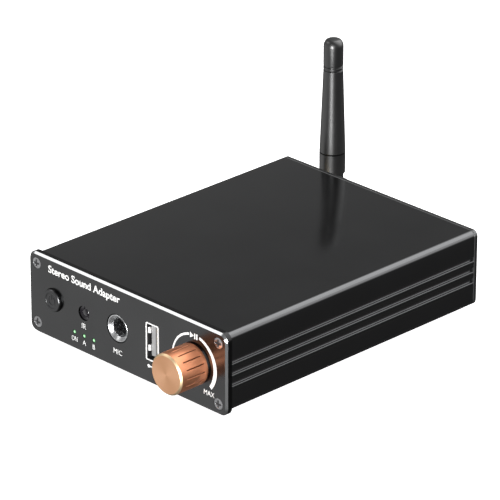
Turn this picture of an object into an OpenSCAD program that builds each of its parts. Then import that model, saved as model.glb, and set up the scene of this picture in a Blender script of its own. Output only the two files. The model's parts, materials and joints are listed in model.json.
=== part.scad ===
// Desktop wireless audio receiver: an extruded case between two end panels, with a push encoder,
// a power button, USB, microphone, analogue and power sockets, and a folding antenna.
// +X is to the right as seen from the front, +Y runs from the front to the back, +Z is up.
// The origin is at the centre of the whole outline, on the plane that the feet stand on.

/* [Case] */
// Width of the front panel
panel_w = 94; // [92:0.5:100]
// Height of the front panel
panel_h = 29.2; // [29:0.1:32]
// Corner radius of the front panel
panel_r = 3; // [2.5:0.1:3.4]
// Thickness of the front panel
front_t = 2.5; // [2:0.1:3]
// Diamond-cut chamfer around the front panel's face
front_chamfer = 0.7; // [0.3:0.1:1]
// Thickness of the back panel
back_t = 1.5; // [1:0.1:2]
// Chamfer around the back panel's inner face
back_chamfer = 0.3; // [0.1:0.05:0.6]
// Length of the extrusion between the panels
body_l = 115; // [110:0.2:130]
// How far the front panel stands proud of the extrusion on each side
side_inset = 1.25; // [1:0.05:1.35]
// How far the front panel stands proud of the extrusion above and below
top_inset = 0.9; // [0.8:0.05:1.1]
// Outer corner radius of the extrusion and of the back panel
body_r = 2; // [1.5:0.1:2.2]
// Thickness of the extrusion's top and bottom
wall_t = 1.4; // [1.2:0.1:1.6]
// Thickness of the extrusion's sides
side_t = 2.4; // [2.2:0.1:2.6]

/* [Side grooves] */
// Number of grooves along each side
groove_count = 3; // [1:1:3]
// Spacing of the grooves
groove_pitch = 3.95; // [3.5:0.05:4.2]
// Height of one groove
groove_h = 1.6; // [1:0.1:1.8]
// Depth of one groove
groove_d = 1; // [0.6:0.1:1.2]

/* [Screws] */
// Distance from the case's middle to the end screws, sideways
screw_x = 43.15; // [43:0.05:43.3]
// Distance from the case's middle to the end screws, up and down
screw_z = 10.75; // [10.6:0.05:10.9]
// Diameter of a screw's head
screw_head_d = 4; // [3.6:0.1:4.4]
// Diameter of a screw's shank
screw_d = 2.5; // [2.2:0.1:2.6]
// Length of a screw below its head
screw_l = 8; // [6:0.5:10]

/* [Front controls] */
// Power button's axis, sideways from the middle
power_x = -34.9; // [-35.5:0.1:-34]
// Diameter of the power button's cap
power_d = 7.9; // [7:0.1:8.2]
// How far the power button stands in front of the panel
power_out = 1.2; // [1:0.1:2]
// Travel of the power button
power_travel = 0.8; // [0.4:0.1:0.9]
// Infrared receiver's axis, sideways from the middle
ir_x = -20.2; // [-21:0.1:-19]
// Diameter of the infrared window
ir_d = 5.2; // [5:0.1:5.6]
// Spacing of the three indicator lights
led_pitch = 4.7; // [4:0.1:5]
// Height of the indicator lights above the middle
led_z = -8.25; // [-8.3:0.05:-8.1]
// Diameter of an indicator's light pipe
led_d = 1.56; // [1.4:0.02:1.6]
// Volume knob's axis, sideways from the middle
knob_x = 32.2; // [31:0.1:33]
// Diameter of the volume knob
knob_d = 14.2; // [14:0.1:16]
// How far the knob's face stands in front of the panel
knob_out = 12.5; // [12:0.1:14]
// Gap between the knob and the panel
knob_gap = 0.7; // [0.6:0.1:1]
// Number of flutes around the knob
knob_flutes = 16; // [12:1:32]
// Push travel of the knob
knob_travel = 0.5; // [0.3:0.1:0.5]

/* [Sockets] */
// Microphone socket's axis, sideways from the middle
mic_x = -4; // [-5:0.1:-3]
// Bore of the microphone socket, for a 6.35 mm plug
mic_bore_d = 6.4; // [6.38:0.01:6.45]
// USB socket's middle, sideways from the middle
usb_x = 12.65; // [12:0.05:13]
// USB socket's middle, above the middle
usb_z = 0.5; // [0.3:0.1:0.6]
// Analogue input socket's axis, sideways from the middle
aux_x = -14; // [-15:0.1:-13]
// Bore of the analogue input, for a 3.5 mm plug
aux_bore_d = 3.6; // [3.55:0.01:3.65]
// Middle of the pair of output sockets, sideways from the middle
rca_x = 9; // [8:0.1:10]
// Spacing of the pair of output sockets
rca_pitch = 14; // [13:0.5:16]
// Outer diameter of an output socket's barrel
rca_d = 8.3; // [8.2:0.05:8.4]
// How far the output sockets stand out of the back panel
rca_out = 8.4; // [7:0.1:9]
// Power inlet's axis, sideways from the middle
dc_x = 34; // [33:0.1:35]
// Bore of the power inlet
dc_bore_d = 6.2; // [6:0.1:6.4]
// Diameter of the power inlet's centre pin
dc_pin_d = 2; // [1.9:0.1:2.1]

/* [Antenna] */
// Antenna's axis, sideways from the middle
ant_x = -38.1; // [-38.2:0.1:-36]
// Distance from the back panel to the antenna's hinge
hinge_back = 16; // [15.9:0.1:18]
// Diameter of the antenna below its seam
ant_d = 9.2; // [8:0.1:9.4]
// Diameter of the antenna's tip
ant_tip_d = 7.04; // [6:0.02:7.4]
// Height of the seam above the hinge
ant_seam = 12.8; // [11:0.1:14]
// Height of the antenna's tip above the hinge
ant_l = 55.2; // [54:0.1:60]
// Height of the upper ring groove above the hinge
ant_ring = 45.2; // [44:0.1:47]
// Spacing of the two ring grooves
ant_ring_pitch = 1.35; // [1.2:0.05:1.6]

/* [Feet] */
// Diameter of a foot
foot_d = 9; // [7:0.5:12]
// Height of a foot
foot_h = 2; // [1.6:0.1:3]

/* [Hidden] */
$fn = 64;
tiny = 0.01;
fit_gap = 0.04;
total_d = knob_out + front_t + body_l + back_t + hinge_back + ant_d / 2;
y_front = knob_out - total_d / 2;
y_in = y_front + front_t;
y_rear_in = y_in + body_l;
y_back = y_rear_in + back_t;
y_hinge = y_back + hinge_back;
z_mid = foot_h - top_inset + panel_h / 2;
body_w = panel_w - 2 * side_inset;
body_h = panel_h - 2 * top_inset;
board_t = 1.6;
board_w = 80.4;
board_top = z_mid - 9.2;
board_y0 = y_in + 1;
board_y1 = y_rear_in - 1;
knob_r = knob_d / 2;
shaft_r = 3;
bushing_r = 3.5;
bushing_out = 4;
ant_r = ant_d / 2;
ear_in = 2.2;
tang_w = 4;
hinge_pin_r = 1.2;
thread_r = 3.15;

// ---- shared shapes ----

// A flat outline in X and Z, drawn out from y0 to y1.
module along_y(y0, y1) {
    translate([0, y1, 0]) rotate([90, 0, 0]) linear_extrude(y1 - y0) children();
}

// A round bar along Y at x, z, from y0 to y1.
module rod(x, z, y0, y1, r) {
    translate([x, y1, z]) rotate([90, 0, 0]) cylinder(h = y1 - y0, r = r);
}

// A round bar along Y whose radius goes from r0 at y0 to r1 at y1.
module taper(x, z, y0, y1, r0, r1) {
    translate([x, y1, z]) rotate([90, 0, 0]) cylinder(h = y1 - y0, r1 = r1, r2 = r0);
}

// A box between two corners.
module block(x0, x1, y0, y1, z0, z1) {
    translate([x0, y0, z0]) cube([x1 - x0, y1 - y0, z1 - z0]);
}

// A rectangle of size w by h around the origin with corners of radius r.
module rounded(w, h, r) {
    square([w - 2 * r, h], center = true);
    square([w, h - 2 * r], center = true);
    for (x = [-1, 1], z = [-1, 1])
        translate([x * (w / 2 - r), z * (h / 2 - r)]) circle(r = r);
}

// Its children at the four screw places.
module at_screws() {
    for (x = [-1, 1], z = [-1, 1])
        translate([x * screw_x, 0, z_mid + z * screw_z]) children();
}

// A tube of radius r swept along points, with flat ends square to its path.
function unit(v) = v / norm(v);
function tangent(p, i) = unit(p[min(i + 1, len(p) - 1)] - p[max(i - 1, 0)]);
function side(t) = unit(cross(t, abs(t.y) > 0.9 ? [1, 0, 0] : [0, 1, 0]));
function ring(c, t, r, n) = let (u = side(t), v = cross(t, u))
    [for (k = [0:n - 1]) c + r * (cos(360 * k / n) * u + sin(360 * k / n) * v)];
module sweep(p, r, n = 8) {
    last = len(p) - 1;
    points = [for (i = [0:last]) each ring(p[i], tangent(p, i), r, n)];
    walls = [for (i = [0:last - 1], k = [0:n - 1]) let (a = i * n + k, b = i * n + (k + 1) % n)
        each [[a, a + n, b + n], [a, b + n, b]]];
    caps = [[for (k = [0:n - 1]) k], [for (k = [n - 1:-1:0]) last * n + k]];
    polyhedron(points, concat(walls, caps));
}

// Points of a smooth curve through the given points, with steps between each two.
function spline(p, steps) = let (last = len(p) - 1) [
    for (i = [0:last - 1], s = [0:steps - 1]) let (
        t = s / steps,
        a = p[max(i - 1, 0)],
        b = p[i],
        c = p[i + 1],
        d = p[min(i + 2, last)]
    ) 0.5 * (2 * b + (c - a) * t + (2 * a - 5 * b + 4 * c - d) * t * t
        + (3 * b - a - 3 * c + d) * t * t * t),
    p[last]
];

// ---- case ----

// Outline of one side groove at the right wall, with an eased lower lip and a filled inner corner.
module groove_outline() {
    x = body_w / 2;
    h = groove_h / 2;
    polygon([
        [x + 1, h], [x - groove_d, h], [x - groove_d, -h + 0.25], [x - groove_d + 0.25, -h],
        [x - 0.2, -h], [x, -h - 0.2], [x + 1, -h - 0.2]
    ]);
}

// Rail on one side that grips the board's edge from above and below, on a rib from the floor.
module board_rail() {
    bite = 0.9;
    lip = 0.8;
    slack = 0.05;
    side_gap = 0.15;
    rail_in = board_w / 2 - bite;
    wall_in = body_w / 2 - side_t;
    over = board_top - z_mid + slack;
    under = board_top - board_t - z_mid - slack;
    floor_z = -body_h / 2 + 0.5;
    for (z = [under - lip, over])
        translate([rail_in, z]) square([wall_in - rail_in + 0.5, lip]);
    translate([board_w / 2 + side_gap, under - lip])
        square([wall_in - board_w / 2, over - under + 2 * lip]);
    translate([rail_in, floor_z]) square([1.6, under - lip / 2 - floor_z]);
}
module extrusion_outline() {
    boss_r = 2.5;
    groove_z = -0.15;
    difference() {
        union() {
            difference() {
                rounded(body_w, body_h, body_r);
                rounded(body_w - 2 * side_t, body_h - 2 * wall_t, 0.5);
            }
            intersection() {
                for (x = [-1, 1], z = [-1, 1])
                    translate([x * screw_x, z * screw_z]) circle(r = boss_r);
                rounded(body_w, body_h, body_r);
            }
            board_rail();
            mirror([1, 0]) board_rail();
        }
        for (x = [-1, 1], z = [-1, 1])
            translate([x * screw_x, z * screw_z]) circle(d = screw_d + fit_gap);
        for (k = [0:groove_count - 1]) {
            z = groove_z + (k - (groove_count - 1) / 2) * groove_pitch;
            translate([0, z]) groove_outline();
            translate([0, z]) mirror([1, 0]) groove_outline();
        }
    }
}

module case_extrusion() {
    color("#2b2c2e") along_y(y_in, y_rear_in) translate([0, z_mid]) extrusion_outline();
}

// A panel from y0 to y1 with rounded corners, chamfered by c around its front edge.
module chamfered_panel(w, h, r, y0, y1, c) {
    inner_w = w - 2 * r;
    inner_h = h - 2 * r;
    translate([-inner_w / 2, 0, z_mid]) rotate([90, 0, 90]) linear_extrude(inner_w)
        polygon([
            [y0, -h / 2 + c], [y0 + c, -h / 2], [y1, -h / 2], [y1, h / 2], [y0 + c, h / 2],
            [y0, h / 2 - c]
        ]);
    translate([0, 0, z_mid - inner_h / 2]) linear_extrude(inner_h)
        polygon([
            [-w / 2 + c, y0], [w / 2 - c, y0], [w / 2, y0 + c], [w / 2, y1], [-w / 2, y1],
            [-w / 2, y0 + c]
        ]);
    for (x = [-1, 1], z = [-1, 1]) {
        rod(x * inner_w / 2, z_mid + z * inner_h / 2, y0 + c, y1, r);
        taper(x * inner_w / 2, z_mid + z * inner_h / 2, y0, y0 + c, r - c, r);
    }
}

// Countersunk screw with its head's face at the origin, pointing along +Y.
module screw() {
    head_t = 1;
    cross_l = 2.3;
    cross_w = 0.55;
    difference() {
        union() {
            taper(0, 0, 0, head_t, screw_head_d / 2, screw_d / 2);
            rod(0, 0, head_t - tiny, screw_l, screw_d / 2);
        }
        block(-cross_l / 2, cross_l / 2, -1, 0.75, -cross_w / 2, cross_w / 2);
        block(-cross_w / 2, cross_w / 2, -1, 0.75, -cross_l / 2, cross_l / 2);
    }
}

// Countersunk clearance for a screw whose head's face is at the origin.
module screw_hole() {
    taper(0, 0, 0, 1, screw_head_d / 2 + fit_gap, screw_d / 2 + fit_gap);
    rod(0, 0, -1, tiny, screw_head_d / 2 + fit_gap);
    rod(0, 0, 0.9, screw_l, screw_d / 2 + fit_gap);
}

module front_panel() {
    color("#3a3b3d") difference() {
        chamfered_panel(panel_w, panel_h, panel_r, y_front, y_in, front_chamfer);
        at_screws() translate([0, y_front + 0.1, 0]) screw_hole();
        rod(power_x, z_mid, y_front - 1, y_in + 1, power_d / 2 + 0.2);
        rod(ir_x, z_mid, y_front - 1, y_in + 1, ir_d / 2);
        for (k = [-1:1])
            rod(ir_x + k * led_pitch, z_mid + led_z, y_front - 1, y_in + 1, led_d / 2 + 0.02);
        rod(mic_x, z_mid, y_front - 1, y_in + 1, 5.05);
        rod(knob_x, z_mid, y_front - 1, y_in + 1, bushing_r + 0.1);
        along_y(y_front - 1, y_in + 1) translate([usb_x, z_mid + usb_z]) rounded(6.2, 13.65, 0.7);
    }
}

module front_panel_screws() {
    color("#1c1c1d") at_screws() translate([0, y_front + 0.1, 0]) screw();
}

module back_panel() {
    color("#303133") difference() {
        chamfered_panel(body_w, body_h, body_r, y_rear_in, y_back, back_chamfer);
        at_screws() translate([0, y_back - 0.1, 0]) mirror([0, 1, 0]) screw_hole();
        rod(ant_x, z_mid, y_rear_in - 1, y_back + 1, thread_r + 0.1);
        rod(aux_x, z_mid, y_rear_in - 1, y_back + 1, 3.15);
        for (k = [-1, 1])
            rod(rca_x + k * rca_pitch / 2, z_mid, y_rear_in - 1, y_back + 1, rca_d / 2 + 0.3);
        rod(dc_x, z_mid, y_rear_in - 1, y_back + 1, 4.1);
    }
}

module back_panel_screws() {
    color("#1c1c1d") at_screws() translate([0, y_back - 0.1, 0]) mirror([0, 1, 0]) screw();
}

module rubber_feet() {
    inset_y = 14;
    foot_x = 34;
    color("#1a1a1a")
        for (x = [-foot_x, foot_x], y = [y_front + inset_y, y_back - inset_y])
            translate([x, y, 0]) cylinder(h = foot_h, r1 = foot_d / 2 - 0.4, r2 = foot_d / 2);
}

module main_board() {
    color("#1f5a38")
        block(-board_w / 2, board_w / 2, board_y0, board_y1, board_top - board_t, board_top);
}

// ---- USB socket ----
usb_w = 5.9;
usb_h = 13.35;
usb_wall = 0.35;
usb_l = 14;
usb_y0 = y_front - 0.1;
tongue_x0 = usb_x - usb_w / 2 + usb_wall + 0.75;
tongue_t = 1.84;
tongue_y0 = y_front + 1.5;
tongue_y1 = y_front + 9;

module usb_shell() {
    spring_z = 3.1;
    wall_x = usb_x - usb_w / 2 + usb_wall;
    color("#d8d8d8") {
        difference() {
            along_y(usb_y0, usb_y0 + usb_l)
                translate([usb_x, z_mid + usb_z]) rounded(usb_w, usb_h, 0.6);
            along_y(usb_y0 - 1, usb_y0 + usb_l + 1) translate([usb_x, z_mid + usb_z])
                rounded(usb_w - 2 * usb_wall, usb_h - 2 * usb_wall, 0.3);
        }
        for (k = [-1, 1])
            block(wall_x - 0.1, wall_x + 0.4, y_front + 1.4, y_front + 5,
                z_mid + usb_z + k * spring_z - 1, z_mid + usb_z + k * spring_z + 1);
    }
}

module usb_insulator() {
    z = z_mid + usb_z;
    y_end = usb_y0 + usb_l + 1.5;
    color("#f2f2f0") {
        block(tongue_x0, tongue_x0 + tongue_t, tongue_y0, tongue_y1 + tiny, z - 5.55, z + 5.55);
        block(usb_x - 2.55, usb_x + 2.55, tongue_y1, y_end, z - 6.25, z + 6.25);
        block(usb_x - 2.55, usb_x + 2.55, y_in + 2.5, y_end, board_top, z - usb_h / 2);
        block(usb_x - 2.55, usb_x + 2.55, usb_y0 + usb_l, y_end, board_top, z);
    }
}

module usb_contacts() {
    x0 = tongue_x0 + tongue_t;
    z = z_mid + usb_z;
    color("#d9b45a")
        for (k = [-3.5, -1, 1, 3.5])
            block(x0, x0 + 0.2, tongue_y0 + 0.7, tongue_y1, z + k - 0.5, z + k + 0.5);
}

// ---- microphone socket ----
bush_r = 4.75;
bush_y0 = y_front + 0.05;
bush_y1 = y_in + 5;

module mic_jack_bush() {
    funnel = 1.1;
    color("#dfe1e3") difference() {
        rod(mic_x, z_mid, bush_y0, bush_y1, bush_r);
        rod(mic_x, z_mid, bush_y0 - 1, bush_y1 + 1, mic_bore_d / 2);
        taper(mic_x, z_mid, bush_y0 - tiny, bush_y0 + funnel, bush_r - 0.35, mic_bore_d / 2);
    }
}

module mic_jack_body() {
    half = 7;
    y_end = y_in + 31;
    color("#202022") difference() {
        block(mic_x - half, mic_x + half, y_in + 0.3, y_end, board_top, z_mid + half);
        rod(mic_x, z_mid, y_in - 1, bush_y1, bush_r);
        rod(mic_x, z_mid, bush_y1 - tiny, y_end + 1, 3.7);
        block(mic_x + 3, mic_x + 5.4, y_in + 8, y_end - 3, z_mid - 2, z_mid + 2);
    }
}

module mic_jack_contacts() {
    x0 = mic_x + 4.1;
    color("#c9ccd0")
        for (y = [y_in + 8.5, y_in + 15, y_in + 21.5])
            block(x0, x0 + 0.4, y, y + 4.5, z_mid - 1.6, z_mid + 1.6);
}

// ---- infrared receiver and indicators ----

module ir_receiver() {
    lens_r = 2.4;
    y0 = y_in + 0.2;
    y1 = y0 + 3.4;
    color("#111114") {
        block(ir_x - 2.8, ir_x + 2.8, y0, y1, z_mid - 3.6, z_mid + 3.6);
        rod(ir_x, z_mid, y_front + 2.7, y0 + tiny, lens_r);
        translate([ir_x, y_front + 2.7, z_mid]) sphere(r = lens_r);
        for (k = [-1:1])
            block(ir_x + 1.5 * k - 0.25, ir_x + 1.5 * k + 0.25, y0 + 2.7, y0 + 3.2,
                board_top, z_mid - 3.5);
    }
}

module indicator_leds() {
    color("#e6f5df")
        for (k = [-1:1])
            block(ir_x + k * led_pitch - 0.8, ir_x + k * led_pitch + 0.8, y_in + 1.2, y_in + 2.6,
                board_top, board_top + 1.9);
}

module light_pipes() {
    color("#c8f2c0")
        for (k = [-1:1])
            rod(ir_x + k * led_pitch, z_mid + led_z, y_front - 0.05, y_in + 1.2, led_d / 2);
}

// ---- power button and its switch ----
switch_y0 = y_in + 4.5;
switch_y1 = y_in + 14.5;
chamber_y0 = switch_y0 + 1;
chamber_y1 = switch_y1 - 1.5;
plunger_r = 1.5;
collar_y1 = chamber_y0 + 1.1;

module power_button() {
    edge = 0.35;
    symbol_r = 1.5;
    line_w = 0.4;
    cut = 0.2;
    y0 = y_front - power_out;
    color("#2c2d2f") {
        difference() {
            union() {
                taper(power_x, z_mid, y0, y0 + edge, power_d / 2 - edge, power_d / 2);
                rod(power_x, z_mid, y0 + edge - tiny, y_in + 1, power_d / 2);
                rod(power_x, z_mid, y_in + 0.05, y_in + 1, power_d / 2 + 1);
            }
            translate([power_x, y0 + cut, z_mid]) rotate([90, 120, 0])
                rotate_extrude(angle = 300) translate([symbol_r - line_w / 2, 0]) square([line_w, 1]);
            block(power_x - line_w / 2, power_x + line_w / 2, y0 - 1, y0 + cut,
                z_mid + 0.4, z_mid + symbol_r + 0.5);
        }
    }
}

module power_plunger() {
    color("#e8e8e6") {
        rod(power_x, z_mid, y_in + 1, chamber_y1 - 4, plunger_r - 0.3);
        rod(power_x, z_mid, y_in + 1, collar_y1, plunger_r);
        rod(power_x, z_mid, collar_y1 - 1, collar_y1, plunger_r + 1);
    }
}

module power_switch_housing() {
    half = 4.25;
    color("#26262a") difference() {
        block(power_x - half, power_x + half, switch_y0, switch_y1, board_top, z_mid + half);
        rod(power_x, z_mid, switch_y0 - 1, switch_y1, plunger_r + 0.06);
        rod(power_x, z_mid, chamber_y0, switch_y1 + 1, 2.9);
    }
}

module power_switch_base() {
    color("#d0c9b0") rod(power_x, z_mid, chamber_y1, switch_y1, 2.9 - fit_gap / 2);
}

module power_switch_spring() {
    wire_r = 0.22;
    coil_r = 2.1;
    turns = 5;
    per_turn = 14;
    y0 = collar_y1 + wire_r;
    y1 = chamber_y1 - wire_r;
    color("#b9bcc0") sweep([
        for (k = [0:turns * per_turn]) let (a = 360 * k / per_turn, s = k / (turns * per_turn))
            [power_x + coil_r * cos(a), y0 + (y1 - y0) * s, z_mid + coil_r * sin(a)]
    ], wire_r, 6);
}

// ---- push encoder and volume knob ----
enc_half = 6.2;
enc_y0 = y_in + 0.1;
enc_y1 = enc_y0 + 6.6;
rotor_y0 = enc_y0 + 1.8;
rotor_y1 = enc_y0 + 4.6;
shaft_end = enc_y0 + 5.2;
shaft_tip = y_front - knob_out + 1.5;
hub_y1 = y_front - 5.5;
insert_r = 4.2;

module encoder_housing() {
    color("#2a2a2c") difference() {
        union() {
            block(knob_x - enc_half, knob_x + enc_half, enc_y0, enc_y1,
                z_mid - enc_half, z_mid + enc_half);
            rod(knob_x, z_mid, y_front - bushing_out, enc_y0 + tiny, bushing_r);
        }
        rod(knob_x, z_mid, y_front - bushing_out - 1, enc_y1 + 1, shaft_r + fit_gap);
        rod(knob_x, z_mid, rotor_y0 - 0.1, enc_y1 + 1, 5.2);
    }
}

module encoder_cover() {
    color("#c8a878") block(knob_x - enc_half, knob_x + enc_half, enc_y1, enc_y1 + 1.2,
        z_mid - enc_half, z_mid + enc_half);
}

module encoder_bracket() {
    t = 0.4;
    y1 = enc_y1 + 1.2;
    color("#c4c7ca") {
        block(knob_x - enc_half - t, knob_x + enc_half + t, y1, y1 + t, z_mid - 5, z_mid + 5);
        for (k = [-1, 1]) {
            x = knob_x + k * (enc_half + t / 2);
            block(x - t / 2, x + t / 2, enc_y0 + 0.4, y1 + t, z_mid - 5, z_mid + 5);
            block(x - t / 2, x + t / 2, enc_y0 + 3, enc_y0 + 5, board_top, z_mid - 4.9);
        }
    }
}

module encoder_pins() {
    pin_t = 0.6;
    color("#d5d7da") {
        for (k = [-1:1])
            block(knob_x + 2.5 * k - 0.4, knob_x + 2.5 * k + 0.4, enc_y0 + 1, enc_y0 + 1 + pin_t,
                board_top, z_mid - enc_half);
        for (k = [-1, 1])
            block(knob_x + 2.5 * k - 0.4, knob_x + 2.5 * k + 0.4, enc_y1 + 0.2, enc_y1 + 0.2 + pin_t,
                board_top, z_mid - enc_half);
    }
}

module encoder_washer() {
    color("#c9ccd0") difference() {
        rod(knob_x, z_mid, y_front - 0.5, y_front, 5.7);
        rod(knob_x, z_mid, y_front - 1, y_front + 1, bushing_r + 0.02);
    }
}

module encoder_nut() {
    across_flats = 10;
    color("#b8bbbf") difference() {
        translate([knob_x, y_front - 0.5, z_mid]) rotate([90, 0, 0])
            cylinder(h = 2, d = across_flats / cos(30), $fn = 6);
        rod(knob_x, z_mid, y_front - 3, y_front, bushing_r + 0.02);
    }
}

module encoder_rotor() {
    color("#e9e2d0") difference() {
        rod(knob_x, z_mid, rotor_y0, rotor_y1, 5.1);
        rod(knob_x, z_mid, rotor_y0 - 1, rotor_y1 + 1, shaft_r + fit_gap);
    }
}

module click_dome() {
    color("#d9dbdd") taper(knob_x, z_mid, shaft_end, enc_y1, 1.2, 2.6);
}

// Shaft from y0 to y1 with a flat from its front end to flat_y1, grown by g for its bore.
module shaft_shape(y0, y1, flat_y1, g) {
    difference() {
        rod(knob_x, z_mid, y0, y1, shaft_r + g);
        block(knob_x - 4, knob_x + 4, y0 - 1, flat_y1, z_mid + 1.5 + g, z_mid + 4);
    }
}

module encoder_shaft() {
    color("#cfd2d5") shaft_shape(shaft_tip, shaft_end, y_front - bushing_out - 0.8, 0);
}

module knob_insert() {
    color("#1d1d1f") difference() {
        rod(knob_x, z_mid, shaft_tip, hub_y1, insert_r);
        shaft_shape(shaft_tip - 1, hub_y1 + 1, hub_y1 + 2, 0);
    }
}

module volume_knob() {
    edge = 0.6;
    flute_r = 0.45;
    flute_y0 = y_front - knob_out + 2.8;
    flute_y1 = y_front - knob_gap - 1.2;
    recess_r = 6.1;
    y0 = y_front - knob_out;
    y1 = y_front - knob_gap;
    color("#c98a63") difference() {
        union() {
            taper(knob_x, z_mid, y0, y0 + edge, knob_r - edge, knob_r);
            rod(knob_x, z_mid, y0 + edge - tiny, y1, knob_r);
        }
        rod(knob_x, z_mid, shaft_tip, y1, insert_r);
        rod(knob_x, z_mid, hub_y1, y1 + 1, recess_r);
        for (k = [0:knob_flutes - 1])
            translate([knob_x, 0, z_mid]) rotate([0, 360 * k / knob_flutes, 0])
                rod(knob_r + 0.2, 0, flute_y0, flute_y1, flute_r);
    }
}

// ---- electronics on the board ----
module_x = -27;
module_y0 = y_rear_in - 46;
module_w = 13;
module_l = 24;
module_t = 0.8;
rf_pad_y = module_y0 + module_l - 3;

module radio_module() {
    color("#1d4f8a") {
        block(module_x - module_w / 2, module_x + module_w / 2, module_y0, module_y0 + module_l,
            board_top, board_top + module_t);
        translate([module_x, rf_pad_y, board_top + module_t - tiny]) cylinder(h = 1.2, r = 1.3);
    }
}

module module_shield() {
    t = 0.3;
    half = module_w / 2 - 0.8;
    y0 = module_y0 + 1.5;
    y1 = rf_pad_y - 3;
    z0 = board_top + module_t;
    color("#c9cccf") difference() {
        block(module_x - half, module_x + half, y0, y1, z0, z0 + 2);
        block(module_x - half + t, module_x + half - t, y0 + t, y1 - t, z0 - 1, z0 + 2 - t);
    }
}

module integrated_circuits() {
    chips = [[-4, -8, 10, 10, 1.2], [18, 2, 7, 5, 1.5], [-2, 18, 6, 5, 1.5], [26, 24, 5, 4, 1.4]];
    color("#17181a")
        for (c = chips)
            translate([c[0] - c[2] / 2, c[1] - c[3] / 2, board_top]) cube([c[2], c[3], c[4]]);
}

module electrolytic_capacitors() {
    places = [[14, 20], [22, 12], [33, 14], [-16, 26], [-8, 30]];
    color("#23324d")
        for (p = places) translate([p[0], p[1], board_top]) {
            cylinder(h = 7.7, r = 3.15);
            translate([-3.3, -3.3, 0]) cube([6.6, 6.6, 0.9]);
        }
}

module power_inductors() {
    color("#3b3a38")
        for (p = [[32, 2], [34, -10]])
            translate([p[0] - 3.5, p[1] - 3.5, board_top]) cube([7, 7, 3.2]);
}

module crystal() {
    color("#cfd2d4") translate([6, -10, board_top]) linear_extrude(3.4) rounded(4.6, 10.5, 2.25);
}

// ---- sockets on the back panel ----
nose_r = 3.05;

module aux_jack_body() {
    half = 5.5;
    y0 = y_rear_in - 12.3;
    y1 = y_rear_in - 0.3;
    color("#1c1c1e") difference() {
        union() {
            block(aux_x - half, aux_x + half, y0, y1, board_top, z_mid + 5);
            rod(aux_x, z_mid, y1 - tiny, y_back + 0.5, nose_r);
        }
        rod(aux_x, z_mid, y0 - 1, y_back + 1, aux_bore_d / 2);
        block(aux_x + aux_bore_d / 2 + 0.3, aux_x + 3.6, y0 + 1, y1 - 2, z_mid - 1.2, z_mid + 1.2);
    }
}

module aux_jack_contacts() {
    x0 = aux_x + aux_bore_d / 2 + 0.6;
    color("#cdb36a")
        for (y = [y_rear_in - 10.8, y_rear_in - 6.4])
            block(x0, x0 + 0.3, y, y + 3.4, z_mid - 1, z_mid + 1);
}

rca_y0 = y_rear_in - 0.3;
rca_bore_r = 3.4;
rca_socket_r = 1.9;

module rca_housing() {
    half = 13.5;
    color("#1c1c1e")
        block(rca_x - half, rca_x + half, y_rear_in - 11, rca_y0, board_top, z_mid + 5.5);
}

shoulder_y1 = y_back + 0.9;
module rca_barrels() {
    shoulder_r = rca_d / 2 + 0.8;
    color("#d3d5d8")
        for (x = [rca_x - rca_pitch / 2, rca_x + rca_pitch / 2]) difference() {
            union() {
                rod(x, z_mid, rca_y0, y_back + rca_out, rca_d / 2);
                rod(x, z_mid, y_back + 0.05, shoulder_y1, shoulder_r);
            }
            rod(x, z_mid, rca_y0 - 1, y_back + rca_out + 1, rca_bore_r);
        }
}

// Insulator of one output socket, k pitches from the middle of the pair.
module rca_insulator(k) {
    x = rca_x + k * rca_pitch;
    difference() {
        rod(x, z_mid, rca_y0, y_back + rca_out - 0.6, rca_bore_r);
        rod(x, z_mid, rca_y0 - 1, y_back + rca_out, rca_socket_r);
    }
}

module rca_insulator_left() {
    color("#f0f0ee") rca_insulator(0.5);
}

module rca_insulator_right() {
    color("#b3202a") rca_insulator(-0.5);
}

module rca_contacts() {
    color("#d9b45a")
        for (k = [-1, 1]) difference() {
            rod(rca_x + k * rca_pitch / 2, z_mid, rca_y0, y_back + rca_out - 1, rca_socket_r);
            rod(rca_x + k * rca_pitch / 2, z_mid, rca_y0 + 1, y_back + rca_out + 1, 1.62);
        }
}

dc_y0 = y_rear_in - 14;
dc_bore_l = 9.5;

module dc_jack_body() {
    half = 4.5;
    color("#1b1b1d") difference() {
        union() {
            block(dc_x - half, dc_x + half, dc_y0, y_rear_in - 0.3, board_top, z_mid + half);
            rod(dc_x, z_mid, y_rear_in - 0.3 - tiny, y_back, 4);
        }
        rod(dc_x, z_mid, y_back - dc_bore_l, y_back + 1, dc_bore_d / 2);
    }
}

module dc_jack_pin() {
    color("#cfd2d4") {
        rod(dc_x, z_mid, y_back - dc_bore_l, y_back - 1.2, dc_pin_d / 2);
        translate([dc_x, y_back - 1.2, z_mid]) sphere(d = dc_pin_d);
    }
}

// ---- antenna connector ----
connector_end = y_back + 9;
connector_y0 = y_rear_in - 8;
ptfe_r = 2.1;

module antenna_connector() {
    color("#d9b45a") difference() {
        union() {
            rod(ant_x, z_mid, y_rear_in - 2, connector_end, thread_r);
            rod(ant_x, z_mid, y_rear_in - 2, y_rear_in, 4.6);
            rod(ant_x, z_mid, connector_y0, y_rear_in - 2 + tiny, 2.6);
        }
        rod(ant_x, z_mid, connector_y0 - 1, connector_end + 1, ptfe_r);
    }
}

module connector_insulator() {
    color("#f4f4f2") difference() {
        rod(ant_x, z_mid, connector_y0, connector_end - 1.5, ptfe_r);
        rod(ant_x, z_mid, connector_y0 - 1, connector_end, 0.75);
    }
}

module connector_contact() {
    color("#e0b84c") difference() {
        rod(ant_x, z_mid, connector_y0, connector_end - 1.6, 0.75);
        rod(ant_x, z_mid, connector_end - 6, connector_end, 0.5);
    }
}

module connector_washer() {
    color("#c9ccd0") difference() {
        rod(ant_x, z_mid, y_back, y_back + 0.6, 4.9);
        rod(ant_x, z_mid, y_back - 1, y_back + 2, thread_r + 0.03);
    }
}

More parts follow.
